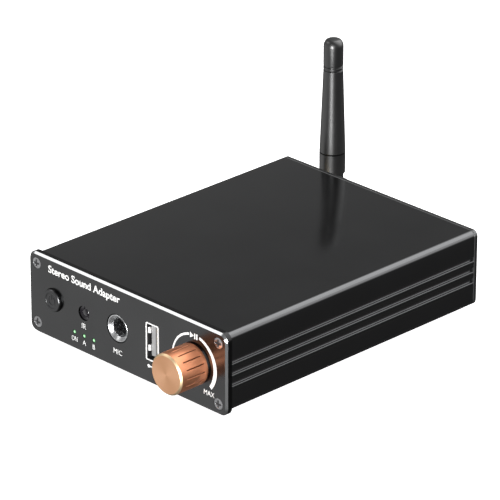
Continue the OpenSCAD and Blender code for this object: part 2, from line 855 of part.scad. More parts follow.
module connector_nut() {
    across_flats = 8;
    color("#d0b878") difference() {
        translate([ant_x, y_back + 2.6, z_mid]) rotate([90, 30, 0])
            cylinder(h = 2, d = across_flats / cos(30), $fn = 6);
        rod(ant_x, z_mid, y_back, y_back + 4, thread_r + 0.03);
    }
}

// Chosen points from the connector's rear, over the board, down to the module's radio pad.
pad_z = board_top + module_t + 1.2;
pigtail_route = [
    [ant_x, connector_y0 - 0.1, z_mid],
    [ant_x, connector_y0 - 4, z_mid],
    [ant_x + 0.6, connector_y0 - 8, z_mid - 0.5],
    [ant_x + 3, y_rear_in - 23, z_mid - 1.5],
    [ant_x + 7, y_rear_in - 24, z_mid - 3.8],
    [module_x - 1, rf_pad_y - 0.4, pad_z + 1.6],
    [module_x, rf_pad_y, pad_z + 0.2]
];

module rf_pigtail() {
    color("#3c3c3e") sweep(spline(pigtail_route, 5), 0.6);
}

// ---- antenna ----
nut_y0 = y_back + 3;
nut_y1 = y_back + 10.4;
pocket_y0 = y_back + 9.1;
pocket_y1 = y_back + 9.8;
swivel_y0 = nut_y1 + 0.2;
slot_y = y_hinge - 4.3;

module antenna_coupling_nut() {
    grips = 12;
    nut_r = 4.75;
    color("#c4a35a") difference() {
        rod(ant_x, z_mid, nut_y0, nut_y1, nut_r);
        rod(ant_x, z_mid, nut_y0 - 1, pocket_y0, thread_r + 0.05);
        rod(ant_x, z_mid, pocket_y0 - tiny, pocket_y1, 3.8);
        rod(ant_x, z_mid, nut_y0, nut_y1 + 1, 2.6);
        for (k = [0:grips - 1])
            translate([ant_x, 0, z_mid]) rotate([0, 360 * k / grips, 0])
                rod(nut_r + 0.35, 0, nut_y0 - 1, nut_y1 - 2, 0.7);
    }
}

module antenna_swivel() {
    color("#222224") difference() {
        union() {
            rod(ant_x, z_mid, pocket_y0 + 0.1, pocket_y1 - 0.05, 3.7);
            rod(ant_x, z_mid, pocket_y1 - 0.1, swivel_y0 + tiny, 2.5);
            rod(ant_x, z_mid, swivel_y0, slot_y + tiny, ant_r);
            for (k = [-1, 1]) {
                x0 = ant_x + (k > 0 ? ear_in : -ant_r);
                block(x0, x0 + ant_r - ear_in, slot_y - 1, y_hinge, z_mid - 3.7, z_mid + 3.7);
                translate([x0, y_hinge, z_mid]) rotate([0, 90, 0])
                    cylinder(h = ant_r - ear_in, r = 3.7);
            }
        }
        translate([ant_x - 10, y_hinge, z_mid]) rotate([0, 90, 0]) cylinder(h = 20, r = hinge_pin_r);
        rod(ant_x, z_mid, pocket_y0, slot_y - 1, 0.45);
    }
}

module antenna_center_pin() {
    color("#e0b84c") rod(ant_x, z_mid, y_back + 4.6, slot_y - 1, 0.45);
}

module antenna_hinge_pin() {
    half = ant_r + 0.1;
    color("#c9ccd0") translate([ant_x - half, y_hinge, z_mid]) rotate([0, 90, 0])
        cylinder(h = 2 * half, r = hinge_pin_r);
}

// A round bar standing on the hinge, from h0 to h1 above it.
module mast_rod(h0, h1, r0, r1) {
    translate([ant_x, y_hinge, z_mid + h0]) cylinder(h = h1 - h0, r1 = r0, r2 = r1);
}

module antenna_knuckle() {
    neck = 5.1;
    spigot_top = ant_seam + 6;
    color("#232325") difference() {
        union() {
            translate([ant_x - tang_w / 2, y_hinge, z_mid]) rotate([0, 90, 0])
                cylinder(h = tang_w, r = 3.7);
            block(ant_x - tang_w / 2, ant_x + tang_w / 2, y_hinge - 3.7, y_hinge + 3.7,
                z_mid, z_mid + neck + 0.5);
            mast_rod(neck, ant_seam - 0.3, ant_r, ant_r);
            mast_rod(ant_seam - 0.4, spigot_top, 2.6, 2.6);
        }
        translate([ant_x - 10, y_hinge, z_mid]) rotate([0, 90, 0])
            cylinder(h = 20, r = hinge_pin_r + fit_gap);
    }
}

module antenna_element() {
    foot = ant_seam + 6;
    color("#c79a3c") {
        mast_rod(foot, foot + 12, 1.9, 1.9);
        mast_rod(foot + 12 - tiny, ant_l - 8, 0.7, 0.7);
    }
}

module antenna_sleeve() {
    tip_r = ant_tip_d / 2;
    crown = 1.9;
    low_ring = ant_ring - ant_ring_pitch;
    groove = 0.22;
    profile = concat(
        [[0, ant_seam], [ant_r - 0.25, ant_seam], [ant_r, ant_seam + 0.25]],
        [[tip_r, low_ring - 0.4]],
        [for (h = [low_ring, ant_ring]) each [
            [tip_r, h - 0.25], [tip_r - groove, h - 0.1], [tip_r - groove, h + 0.1], [tip_r, h + 0.25]
        ]],
        [for (a = [0:10:90]) [tip_r * cos(a), ant_l - crown + crown * sin(a)]]
    );
    color("#262628") difference() {
        translate([ant_x, y_hinge, z_mid]) rotate_extrude() polygon(profile);
        mast_rod(ant_seam - 1, ant_l - 6, 2.6, 2.6);
    }
}

case_extrusion();
front_panel();
front_panel_screws();
back_panel();
back_panel_screws();
rubber_feet();
main_board();
usb_shell();
usb_insulator();
usb_contacts();
mic_jack_bush();
mic_jack_body();
mic_jack_contacts();
ir_receiver();
indicator_leds();
light_pipes();
power_switch_housing();
power_switch_base();
power_switch_spring();
power_plunger();
power_button();
encoder_housing();
encoder_cover();
encoder_bracket();
encoder_pins();
encoder_washer();
encoder_nut();
encoder_rotor();
click_dome();
encoder_shaft();
knob_insert();
volume_knob();
radio_module();
module_shield();
integrated_circuits();
electrolytic_capacitors();
power_inductors();
crystal();
aux_jack_body();
aux_jack_contacts();
rca_housing();
rca_barrels();
rca_insulator_left();
rca_insulator_right();
rca_contacts();
dc_jack_body();
dc_jack_pin();
antenna_connector();
connector_insulator();
connector_contact();
connector_washer();
connector_nut();
rf_pigtail();
antenna_coupling_nut();
antenna_swivel();
antenna_center_pin();
antenna_hinge_pin();
antenna_knuckle();
antenna_element();
antenna_sleeve();
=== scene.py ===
"""Desktop audio receiver: its visible surfaces, finishes, legends and studio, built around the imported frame."""

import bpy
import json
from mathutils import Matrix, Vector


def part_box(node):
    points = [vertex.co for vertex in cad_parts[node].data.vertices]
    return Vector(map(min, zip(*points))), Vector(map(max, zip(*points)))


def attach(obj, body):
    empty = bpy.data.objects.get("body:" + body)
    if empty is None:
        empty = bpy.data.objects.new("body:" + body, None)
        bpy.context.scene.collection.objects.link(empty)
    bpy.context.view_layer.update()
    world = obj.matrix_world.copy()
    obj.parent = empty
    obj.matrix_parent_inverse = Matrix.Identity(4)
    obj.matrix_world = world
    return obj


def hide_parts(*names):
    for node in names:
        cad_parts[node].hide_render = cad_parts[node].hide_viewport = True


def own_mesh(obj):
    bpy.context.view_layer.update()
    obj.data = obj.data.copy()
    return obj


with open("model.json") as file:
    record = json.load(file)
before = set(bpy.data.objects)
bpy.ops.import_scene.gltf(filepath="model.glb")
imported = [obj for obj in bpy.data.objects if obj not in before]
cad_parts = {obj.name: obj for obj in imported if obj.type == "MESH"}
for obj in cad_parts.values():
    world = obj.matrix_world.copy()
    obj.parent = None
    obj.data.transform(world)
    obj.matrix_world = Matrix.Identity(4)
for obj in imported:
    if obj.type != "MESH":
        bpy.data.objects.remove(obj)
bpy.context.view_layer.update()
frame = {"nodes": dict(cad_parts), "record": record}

import json
import math

import bmesh
import bpy
import numpy as np
from bpy.props import FloatProperty, FloatVectorProperty, IntProperty, PointerProperty, StringProperty
from mathutils import Matrix, Vector

bl_info = {
    "name": "Desktop Audio Receiver",
    "version": (1, 0, 0),
    "blender": (4, 5, 0),
    "location": "3D View > Sidebar > Receiver",
    "description": "Builds the receiver's visible pieces, finishes, legends and studio around its packed frame",
    "category": "Object",
}

MM = 0.001
TURN = 2 * math.pi
CAPITAL = 0.7  # height of the font's capitals, for a size of 1
SUNK = 0.02  # how far print reaches into the plate, in millimetres
LOOK = (1.91, -8.66, 28.39)  # the point that the camera and the lights look at, in millimetres

# Name, place in metres, width and height in metres, power in watts, turn in degrees and colour of each light.
LIGHTS = (
    ("key", (-0.65, -0.42, 0.67), (0.7, 0.45), 1.75, 0, (1.0, 0.99, 0.98)),
    ("fill", (0.50, -0.88, 0.04), (0.3, 0.45), 15.0, 0, (1.0, 1.0, 1.0)),
    ("edge", (0.16, 0.66, 0.72), (1.0, 0.4), 1.5, -140, (0.99, 0.99, 1.0)),
)

# Lighter sides of the surroundings: direction, where each starts and is full as a cosine, and the level it adds.
GLOWS = (
    ((-0.65, -0.64, -0.41), 0.62, 0.97, 0.56),
    ((0.35, 0.64, 0.68), 0.58, 0.86, 1.75),
    ((0.0, 0.0, -1.0), -0.3, 0.5, -0.14),
)

# Word, middle from the plate's left edge, baseline above its lower edge, capital height and width.
LABELS = (
    ("IR", 26.8, 9.0, 1.9, None), ("ON", 22.1, 3.1, 1.7, 2.8), ("A", 26.9, 3.1, 1.7, None),
    ("B", 31.5, 3.1, 1.7, None), ("MIC", 43.1, 5.3, 1.8, 4.05), ("MAX", 86.0, 5.3, 1.8, 4.8),
)

# The volume scale's stroke at angles from the knob's right, in degrees and millimetres.
SCALE_ANGLES = (-40, -20, 0, 40, 76, 104, 150, 222)
SCALE_STROKES = (1.3, 1.45, 1.5, 1.2, 0.9, 0.8, 0.65, 0.5)

# Outlines of the small signs, from the plate's lower left corner: play, pause and a plug's line with its dot.
DOT = [(57.9 + 0.6 * math.cos(a), 6.3 + 0.6 * math.sin(a)) for a in np.arange(0, TURN, TURN / 24)]
SYMBOLS = (
    [(77.3, 23.2), (79.0, 24.2), (77.3, 25.2)],
    [(79.25, 23.2), (79.75, 23.2), (79.75, 25.2), (79.25, 25.2)],
    [(80.2, 23.2), (80.7, 23.2), (80.7, 25.2), (80.2, 25.2)],
    DOT,
    [(58.3, 6.08), (62.6, 6.08), (62.6, 6.52), (58.3, 6.52)],
)


# ---- places read from the frame, in millimetres ----
def span(node):
    """Lowest and highest corner of a CAD node, in millimetres."""
    return [np.array(corner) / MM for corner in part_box(node)]


def middle(node):
    """Middle of a CAD node's box, in millimetres."""
    return sum(span(node)) / 2


plate_low, plate_high = span("front_panel")
FRONT, MID = plate_low[1], (plate_low[2] + plate_high[2]) / 2
LEFT, HALF_W, HALF_H = plate_low[0], plate_high[0], plate_high[2] - MID
case_low, case_high = span("case_extrusion")
BACK = span("back_panel")[1][1]
knob_low, knob_high = span("volume_knob")
button_low, button_high = span("power_button")
bush_low, bush_high = span("mic_jack_bush")
hinge = middle("antenna_hinge_pin")
sleeve_low, sleeve_high = span("antenna_sleeve")


# ---- settings that a user would change ----
def length(name, description, default):
    """A length in metres, shown in the scene's units."""
    return FloatProperty(name=name, description=description, default=default, min=0, precision=5, unit="LENGTH")


def tint(name, description, default):
    """A colour."""
    return FloatVectorProperty(
        name=name, description=description, default=default, min=0, max=1, subtype="COLOR", size=3)


def turn_by(name, description, degrees):
    """An angle given in degrees."""
    return FloatProperty(name=name, description=description, default=math.radians(degrees), unit="ROTATION")


class CaseSizes(bpy.types.PropertyGroup):
    """Sizes of the extruded case"""

    corner: length("Corner", "Outer corner radius of the extrusion", 0.002)
    grooves: IntProperty(name="Grooves", description="Number of grooves along each side", default=3, min=1, max=3)
    pitch: length("Groove spacing", "Distance between the grooves", 0.00395)
    height: length("Groove height", "Height of one groove", 0.0016)
    depth: length("Groove depth", "Depth of one groove", 0.001)
    lip: length("Lip ease", "Eased edge of each groove's lower lip", 0.00012)


class KnobSizes(bpy.types.PropertyGroup):
    """Sizes of the volume knob"""

    flutes: IntProperty(name="Flutes", description="Number of flutes around the knob", default=16, min=4, max=48)
    flute_depth: length("Flute depth", "Depth of one flute", 0.0003)
    flute_width: length("Flute width", "Width of one flute", 0.00045)
    chamfer: length("Chamfer", "Bright cut around the face", 0.00062)
    ring_pitch: length("Turning pitch", "Spacing of the face's turned rings", 0.00024)
    ring_depth: length("Turning depth", "Depth of the face's turned rings", 0.000008)


class LegendSizes(bpy.types.PropertyGroup):
    """Sizes of the printed legends"""

    ink: length("Ink", "How far the print stands in front of the plate", 0.00004)
    title: StringProperty(name="Title", description="Words above the controls", default="Stereo Sound Adapter")
    title_width: length("Title width", "Length of the title line", 0.0346)
    title_height: length("Title height", "Height of the title's capitals", 0.0026)
    scale_radius: length("Scale radius", "Outer radius of the volume scale", 0.01035)


class Colours(bpy.types.PropertyGroup):
    """Colours of the finishes"""

    case: tint("Case", "Satin black anodised extrusion", (0.105, 0.106, 0.108))
    plate: tint("Front plate", "Gloss black plate", (0.098, 0.099, 0.1))
    cut: tint("Cut edge", "Bright cut edge of the plate", (0.60, 0.61, 0.62))
    copper: tint("Knob", "Copper anodised knob", (0.80, 0.335, 0.18))
    copper_cut: tint("Knob edge", "Bright cut edge of the knob", (0.92, 0.68, 0.42))
    print_white: tint("Print", "White print", (0.76, 0.76, 0.75))
    antenna: tint("Antenna", "Moulded black plastic", (0.003, 0.003, 0.0032))
    lamp: tint("Indicators", "Lit light pipes", (0.62, 0.95, 0.62))


class Studio(bpy.types.PropertyGroup):
    """Floor, lights and camera"""

    lens: FloatProperty(name="Lens", description="Focal length in millimetres", default=294.3, min=20)
    azimuth: turn_by("Azimuth", "Camera's turn from the front", 45.36)
    elevation: turn_by("Elevation", "Camera's height angle", 24.28)
    roll: turn_by("Roll", "Camera's roll", 0.12)
    distance: length("Distance", "From the camera to the point it looks at", 1.3593)
    ambient: FloatProperty(name="Ambient", description="Level of the surroundings", default=0.24, min=0)


class Settings(bpy.types.PropertyGroup):
    """All settings of the receiver"""

    case: PointerProperty(type=CaseSizes)
    knob: PointerProperty(type=KnobSizes)
    legend: PointerProperty(type=LegendSizes)
    colours: PointerProperty(type=Colours)
    studio: PointerProperty(type=Studio)


# ---- shader expressions ----
class Wire:
    """A shader socket that takes part in expressions: each operator adds one Math node."""

    def __init__(self, finish, socket):
        self.finish, self.socket = finish, socket

    def maths(self, operation, a, b=None):
        return self.finish.node("ShaderNodeMath", {"operation": operation}, {0: a} if b is None else {0: a, 1: b})

    def __add__(self, other):
        return self.maths("ADD", self, other)

    __radd__ = __add__

    def __sub__(self, other):
        return self.maths("SUBTRACT", self, other)

    def __rsub__(self, other):
        return self.maths("SUBTRACT", other, self)

    def __mul__(self, other):
        return self.maths("MULTIPLY", self, other)

    __rmul__ = __mul__

    def __pow__(self, other):
        return self.maths("POWER", self, other)

    def __abs__(self):
        return self.maths("ABSOLUTE", self)

    def __gt__(self, other):
        return self.maths("GREATER_THAN", self, other)

    def __lt__(self, other):
        return self.maths("LESS_THAN", self, other)

    def sine(self):
        return self.maths("SINE", self)

    def most(self, other):
        return self.maths("MAXIMUM", self, other)

    def least(self, other):
        return self.maths("MINIMUM", self, other)


class Tree:
    """A node tree whose nodes are added and wired by name."""

    def __init__(self, tree):
        self.nodes, self.links = tree.nodes, tree.links

    def feed(self, socket, value):
        """Links a wire to a socket, or sets the socket's own value."""
        if isinstance(value, Wire):
            self.links.new(value.socket, socket)
        elif hasattr(value, "__len__") and len(socket.default_value) == 4:
            socket.default_value = (*value[:3], 1)
        else:
            socket.default_value = value

    def node(self, kind, settings, sockets, out=0):
        """Adds a node of a type: first its settings, then its sockets' values or links."""
        node = self.nodes.new(kind)
        for key, value in settings.items():
            setattr(node, key, value)
        for key, value in sockets.items():
            self.feed(node.inputs[key], value)
        return Wire(self, node.outputs[out])

    def span(self, value, low, high, to_low=0.0, to_high=1.0):
        """Value carried from one range to another, and held at its ends."""
        names = ["From Min", "From Max", "To Min", "To Max"]
        return self.node("ShaderNodeMapRange", {"interpolation_type": "SMOOTHSTEP"},
                         {"Value": value, **dict(zip(names, [low, high, to_low, to_high]))})


class Finish(Tree):
    """A material with one Principled shader, whose patterns read Object coordinates in millimetres."""

    def __init__(self, name, metallic=0.0, specular=0.5, coat=0.0, emission=0.0, coat_roughness=0.1):
        self.material = bpy.data.materials.new(name)
        self.material.use_nodes = True
        super().__init__(self.material.node_tree)
        self.nodes.clear()
        self.shader = self.nodes.new("ShaderNodeBsdfPrincipled")
        output = self.nodes.new("ShaderNodeOutputMaterial")
        self.links.new(self.shader.outputs[0], output.inputs[0])
        self.shader.inputs["Metallic"].default_value = metallic
        self.shader.inputs["Specular IOR Level"].default_value = specular
        self.shader.inputs["Coat Weight"].default_value = coat
        self.shader.inputs["Coat Roughness"].default_value = coat_roughness
        self.shader.inputs["Emission Strength"].default_value = emission
        coordinates = self.node("ShaderNodeTexCoord", {}, {}, out="Object")
        self.place = self.node("ShaderNodeVectorMath", {"operation": "SCALE"}, {0: coordinates, "Scale": 1 / MM})

    def stretched(self, x, y, z):
        """The coordinates multiplied by a factor along each axis."""
        return self.node("ShaderNodeMapping", {}, {"Vector": self.place, "Scale": (x, y, z)})

    def noise(self, scale, detail=2.0, place=None):
        """Cloudy value from 0 to 1, with scale features in a millimetre."""
        return self.node("ShaderNodeTexNoise", {}, {"Vector": place or self.place, "Scale": scale, "Detail": detail})

    def axes(self):
        """The three coordinates, in millimetres."""
        split = self.node("ShaderNodeSeparateXYZ", {}, {0: self.place})
        return [Wire(self, output) for output in split.socket.node.outputs]

    def mix(self, share, a, b):
        """Colour a where share is 0 and b where it is 1."""
        return self.node("ShaderNodeMix", {"data_type": "RGBA"}, {0: share, 6: a, 7: b}, out=2)

    def surface(self, colour, roughness, height=None, depth=0.002):
        """Connects colour, roughness and, as a bump of depth millimetres, height."""
        self.feed(self.shader.inputs["Base Color"], colour)
        self.feed(self.shader.inputs["Roughness"], roughness)
        if height is not None:
            bump = self.node("ShaderNodeBump", {}, {"Height": height, "Strength": 1.0, "Distance": depth * MM})
            self.feed(self.shader.inputs["Normal"], bump)
        return self.material


def lighter(colour, by):
    """A colour multiplied by a number, held under 1."""
    return tuple(min(1.0, part * by) for part in colour)


def anodised(name, colour, roughness, grain=7.0, depth=0.0025):
    """Blasted and anodised aluminium: fine grain, faint draw lines along the case and slow clouding."""
    finish = Finish(name, metallic=1.0)
    fine = finish.noise(grain, 3)
    cloud = finish.noise(0.045, 3)
    drawn = finish.noise(1.0, 2, finish.stretched(5, 0.04, 5))
    shade = finish.mix(cloud * 0.6 + fine * 0.4, lighter(colour, 0.82), lighter(colour, 1.2))
    return finish.surface(shade, cloud * 0.06 + fine * 0.04 + (roughness - 0.05), fine + drawn * 0.5, depth)


def front_plate(name, colours):
    """Gloss black plate with a bright cut edge, found from the distance to the plate's rounded outline."""
    finish = Finish(name, metallic=1.0)
    corner, cut = 3.0, 0.7
    x, y, z = finish.axes()
    over_x = abs(x) - (HALF_W - corner)
    over_z = abs(z - MID) - (HALF_H - corner)
    past_x, past_z = over_x.most(0.0), over_z.most(0.0)
    outline = (past_x * past_x + past_z * past_z) ** 0.5 + over_x.most(over_z).least(0.0) - corner
    bright = (outline > 0.02 - cut) * (y < FRONT + cut - 0.01)
    fine, cloud = finish.noise(9, 2), finish.noise(0.06, 3)
    black = finish.mix(cloud, lighter(colours.plate, 0.86), lighter(colours.plate, 1.14))
    # Painted shade: behind the cut edge, on the plate's sides and the walls of its holes, the black is painted darker.
    black = finish.mix(y > FRONT + cut, black, lighter(colours.plate, 0.35))
    cutter = finish.noise(3, 2, finish.stretched(1, 9, 9))
    silver = finish.mix(cutter, lighter(colours.cut, 0.88), colours.cut)
    rough = (0.19 + cloud * 0.05 + fine * 0.03) * (1 - bright) + bright * (0.16 + cutter * 0.08)
    return finish.surface(finish.mix(bright, black, silver), rough, fine, 0.0007)


def copper(name, colours):
    """Copper anodised aluminium: turned lines, painted shade in the flutes, a spun face with painted highlight, and a
    bright cut edge.
    """
    finish = Finish(name, metallic=1.0)
    knob_x, knob_z = (knob_low[0] + knob_high[0]) / 2, (knob_low[2] + knob_high[2]) / 2
    x, y, z = finish.axes()
    across, up = x - knob_x, z - knob_z
    radius = (across * across + up * up) ** 0.5
    full, cut_width, cut_depth, face_depth, ring_pitch = knob_high[0] - knob_x, 0.66, 0.64, 0.3, 0.24
    cut_start = full - cut_width
    bright = (radius > cut_start) * (y < knob_low[1] + cut_depth)
    face = (radius < cut_start) * (y < knob_low[1] + face_depth)
    lines = finish.noise(1.0, 3, finish.stretched(0.25, 9, 0.25))
    mottle = finish.noise(0.9, 4)
    body = finish.mix(mottle * 0.5 + lines * 0.5, lighter(colours.copper, 0.85), lighter(colours.copper, 1.1))
    rings = (radius * (TURN / ring_pitch)).sine()
    # Painted shade: the flutes' floors are coloured darker with their depth, where shade falls in the cuts.
    flute = finish.span(radius, full - 0.03, full - 0.18) * (1 - face) * (1 - bright)
    body = finish.mix(flute, body, lighter(colours.copper, 0.32))
    # The turned rings are the face's own marks; its paler colours and the bright sectors by angle round the axis are a
    # painted highlight.
    painted_sheen = (up.maths("ARCTAN2", up, across) * 2 + 0.6).sine()
    painted_spun_highlight = finish.mix(painted_sheen * 0.5 + 0.5, (0.76, 0.42, 0.24), (1.0, 0.62, 0.39))
    spun = finish.mix(rings * 0.2 + 0.5, (0.74, 0.40, 0.22), painted_spun_highlight)
    shade = finish.mix(bright, finish.mix(face, body, spun), colours.copper_cut)
    rough = (0.40 + lines * 0.08 + mottle * 0.04) * (1 - bright) + bright * 0.45
    return finish.surface(shade, rough, lines * (1 - face) + mottle * 0.3, 0.0022)


def metal(name, colour, roughness, brushed=(1, 1, 1), depth=0.0015):
    """Plated or bare metal: fine marks along its working direction, slight tarnish clouds and pits."""
    finish = Finish(name, metallic=1.0)
    marks = finish.noise(4, 3, finish.stretched(*brushed))
    tarnish = finish.noise(0.35, 4)
    shade = finish.mix(finish.span(tarnish, 0.35, 0.75), colour, lighter(colour, 0.74))
    return finish.surface(shade, roughness + marks * 0.07 + tarnish * 0.06, marks, depth)


def plastic(name, colour, roughness, grain=3.0, depth=0.004, specular=0.5, coat=0.0, emission=0.0, coat_rough=0.1):
    """Moulded plastic or rubber: a spark-eroded grain, flow clouds and slightly uneven gloss."""
    finish = Finish(name, specular=specular, coat=coat, emission=emission, coat_roughness=coat_rough)
    fine = finish.noise(grain, 4)
    flow = finish.noise(0.12, 3)
    shade = finish.mix(flow * 0.7 + fine * 0.3, lighter(colour, 0.8), lighter(colour, 1.25))
    if emission:
        finish.feed(finish.shader.inputs["Emission Color"], shade)
    return finish.surface(shade, roughness + flow * 0.08 + fine * 0.06, fine, depth)


def lamp(name, colour):
    """Lit light pipe: a pale glowing core inside a rim painted darker as painted shade, around each pipe's own axis.
    """
    finish = Finish(name, emission=0.7)
    low, high = span("light_pipes")
    radius = (high[2] - low[2]) / 2
    pitch = (high[0] - low[0]) / 2 - radius
    x, _, z = finish.axes()
    across = finish.node(
        "ShaderNodeMath", {"operation": "WRAP"}, {0: x - (low[0] + high[0]) / 2, 1: pitch / 2, 2: -pitch / 2})
    up = z - (low[2] + high[2]) / 2
    core = finish.span((across * across + up * up) ** 0.5, radius * 0.8, radius * 0.3)
    frost = finish.noise(2.5, 3)
    # The core's glow is the lamp; the dark green rim round it is painted shade at the pipe's edge.
    shade = finish.mix(core, (0.01, 0.07, 0.015), finish.mix(frost, lighter(colour, 0.8), colour))
    finish.feed(finish.shader.inputs["Emission Color"], shade)
    return finish.surface(finish.mix(core, (0.02, 0.08, 0.03), (0.2, 0.5, 0.22)), 0.16 + frost * 0.06)


def board(name, colour):
    """Fibreglass board under solder mask: woven cloth under a clear coat, with tinned dots and copper lines."""
    finish = Finish(name, coat=0.6)
    x, y, _ = finish.axes()
    cloth = (x * 9.0).sine() * (y * 9.0).sine()
    tracks = finish.node("ShaderNodeTexVoronoi", {"distance": "MANHATTAN"}, {"Vector": finish.place, "Scale": 0.35})
    copper_line = finish.span(tracks, 0.42, 0.46)
    shade = finish.mix(copper_line, finish.mix(cloth * 0.5 + 0.5, lighter(colour, 0.85), colour), lighter(colour, 1.7))
    dots = finish.node("ShaderNodeTexVoronoi", {}, {"Vector": finish.stretched(1, 1, 0), "Scale": 0.28})
    tinned = dots < 0.13
    shade = finish.mix(tinned, shade, (0.72, 0.72, 0.70))
    return finish.surface(shade, 0.42 - tinned * 0.15, copper_line * 0.5 + cloth * 0.1, 0.02)


def can(name, colour):
    """Drawn aluminium can with a dark printed sector on its top and a fine brushed side."""
    finish = Finish(name, metallic=1.0)
    marks = finish.noise(3, 3, finish.stretched(1, 1, 0.08))
    patch = finish.node("ShaderNodeTexNoise", {}, {"Vector": finish.stretched(1, 1, 0), "Scale": 0.3})
    shade = finish.mix((patch > 0.56) * 0.9, colour, (0.02, 0.02, 0.025))
    return finish.surface(shade, 0.28 + marks * 0.12, marks, 0.003)


def make_finishes(colours):
    """Every slot's material by slot name, and two that stand beside the slots: bright_rim and print_and_highlight_white."""
    made = {
        "anodised_case": anodised("anodised_case", colours.case, 0.13),
        "front_plate": front_plate("front_plate", colours),
        "back_plate": anodised("back_plate", lighter(colours.case, 1.05), 0.33, grain=8.0),
        "black_screw": metal("black_screw", (0.46, 0.46, 0.47), 0.2),
        "foot_rubber": plastic("foot_rubber", (0.018, 0.018, 0.018), 0.75, grain=2.2, depth=0.012, specular=0.35),
        "circuit_board": board("circuit_board", (0.012, 0.13, 0.055)),
        "module_board": board("module_board", (0.012, 0.06, 0.26)),
        "nickel_shell": metal("nickel_shell", (0.80, 0.79, 0.77), 0.14),
        "chrome_bush": metal("chrome_bush", (0.80, 0.81, 0.82), 0.20, depth=0.0004),
        "white_plastic": plastic("white_plastic", (0.26, 0.26, 0.26), 0.34, depth=0.002),
        "gold_contact": metal("gold_contact", (0.92, 0.66, 0.27), 0.16),
        "black_plastic": plastic("black_plastic", (0.016, 0.016, 0.017), 0.38),
        "spring_steel": metal("spring_steel", (0.62, 0.62, 0.63), 0.2, brushed=(1, 6, 1)),
        "ir_window": plastic(
            "ir_window", (0.006, 0.005, 0.007), 0.03, grain=0.8, depth=0.0004, coat=1.0, coat_rough=0.1),
        "led_body": plastic("led_body", (0.72, 0.80, 0.68), 0.16, grain=1.5, depth=0.001),
        "light_pipe": lamp("light_pipe", colours.lamp),
        "phenolic": plastic("phenolic", (0.36, 0.22, 0.10), 0.55, grain=5.0, depth=0.006),
        "button_cap": anodised("button_cap", lighter(colours.case, 0.9), 0.3, grain=9.0),
        "copper_knob": copper("copper_knob", colours),
        "chip_epoxy": plastic("chip_epoxy", (0.012, 0.012, 0.013), 0.5, grain=5.0, depth=0.01),
        "capacitor_can": can("capacitor_can", (0.62, 0.62, 0.63)),
        "ferrite": plastic("ferrite", (0.03, 0.03, 0.032), 0.62, grain=4.0, depth=0.015),
        "red_plastic": plastic("red_plastic", (0.55, 0.015, 0.02), 0.32, depth=0.002),
        "brass_nut": metal("brass_nut", (0.86, 0.64, 0.30), 0.2),
        "cable_jacket": plastic("cable_jacket", (0.02, 0.02, 0.021), 0.45),
        "antenna_plastic": plastic(
            "antenna_plastic", colours.antenna, 0.3, grain=5.0, depth=0.0004, specular=0.8, coat=0.6, coat_rough=0.3),
        "bright_rim": metal("bright_rim", (0.93, 0.93, 0.92), 0.42, depth=0.0006),
        "print_and_highlight_white": plastic("print_and_highlight_white", colours.print_white, 0.42, grain=6.0, depth=0.0006),
    }
    return made


FINISHES = {}


# ---- surfaces ----
def eased(points, ease, steps=6, closed=True):
    """A corner outline whose corners are circular arcs.

    Each arc starts and ends the distance `ease` from its corner, and its points are the corner plus
    ease times (u (1 - t)^2 + v t^2) / ((1 - t)^2 + 2 w t (1 - t) + t^2), with u and v the directions
    to the corners before and after, and w the cosine of half the turn.
    """
    corners = np.asarray(points, float)
    ease = np.broadcast_to(np.asarray(ease, float), len(corners)).copy()
    if not closed:
        ease[[0, -1]] = 0
    before, after = np.roll(corners, 1, 0) - corners, np.roll(corners, -1, 0) - corners
    u = before / np.maximum(np.linalg.norm(before, axis=1), 1e-9)[:, None]
    v = after / np.maximum(np.linalg.norm(after, axis=1), 1e-9)[:, None]
    w = np.sqrt(np.clip((1 - (u * v).sum(1)) / 2, 0, 1))[:, None]
    t = np.linspace(0, 1, steps + 1)[None]
    whole = (1 - t) ** 2 + 2 * w * t * (1 - t) + t**2
    out = corners[:, None] + ease[:, None, None] * (
        u[:, None] * ((1 - t) ** 2 / whole)[..., None] + v[:, None] * (t**2 / whole)[..., None])
    out = out.reshape(-1, corners.shape[1])
    gap = np.linalg.norm(out - np.roll(out, 1, 0), axis=1)
    gap[0] = gap[0] if closed else 1
    return out[gap > 1e-6]


def quads(rows, columns, wrap_rows=False, wrap_columns=True):
    """Four-sided faces of a grid of points, optionally joined end to end either way."""
    i = np.arange(rows if wrap_rows else rows - 1)[:, None]
    j = np.arange(columns if wrap_columns else columns - 1)[None]
    i_next, j_next = (i + 1) % rows, (j + 1) % columns
    corners = [i * columns + j, i * columns + j_next, i_next * columns + j_next, i_next * columns + j]
    return np.stack(np.broadcast_arrays(*corners), -1).reshape(-1, 4)


def stacked(loops):
    """Points of several equally long X and Z outlines, each at its own Y, one after another."""
    rings = [np.column_stack([ring[:, 0], np.full(len(ring), y), ring[:, 1]]) for ring, y in loops]
    return np.concatenate(rings)


def turned(profile, centre, axis="Y", segments=96, pull=None, lift=None):
    """A profile of (radius, height) carried round an axis.

    The point at angle a and profile row i is the centre plus r_i cos a and r_i sin a across the axis
    and h_i along it. `pull` takes the angles, radii and heights and returns the radii to use, and
    `lift` takes the same and returns the heights.
    """
    rows = np.asarray(profile, float)
    angle = np.linspace(0, TURN, segments, endpoint=False)[None]
    radius, height = rows[:, :1] + 0 * angle, rows[:, 1:] + 0 * angle
    if pull is not None:
        radius = pull(angle + 0 * radius, radius, height)
    if lift is not None:
        height = lift(angle + 0 * radius, radius, height)
    a, b = radius * np.cos(angle), radius * np.sin(angle)
    if axis == "Y":
        points = np.stack([centre[0] + a, height, centre[1] + b], -1)
    else:
        points = np.stack([centre[0] + a, centre[1] + b, height], -1)
    return points.reshape(-1, 3), quads(len(rows), segments)


def joined(shapes):
    """Several point and face arrays as one."""
    counts = np.cumsum([0] + [len(points) for points, _ in shapes[:-1]])
    points = np.concatenate([points for points, _ in shapes])
    return points, np.concatenate([faces + start for (_, faces), start in zip(shapes, counts)])


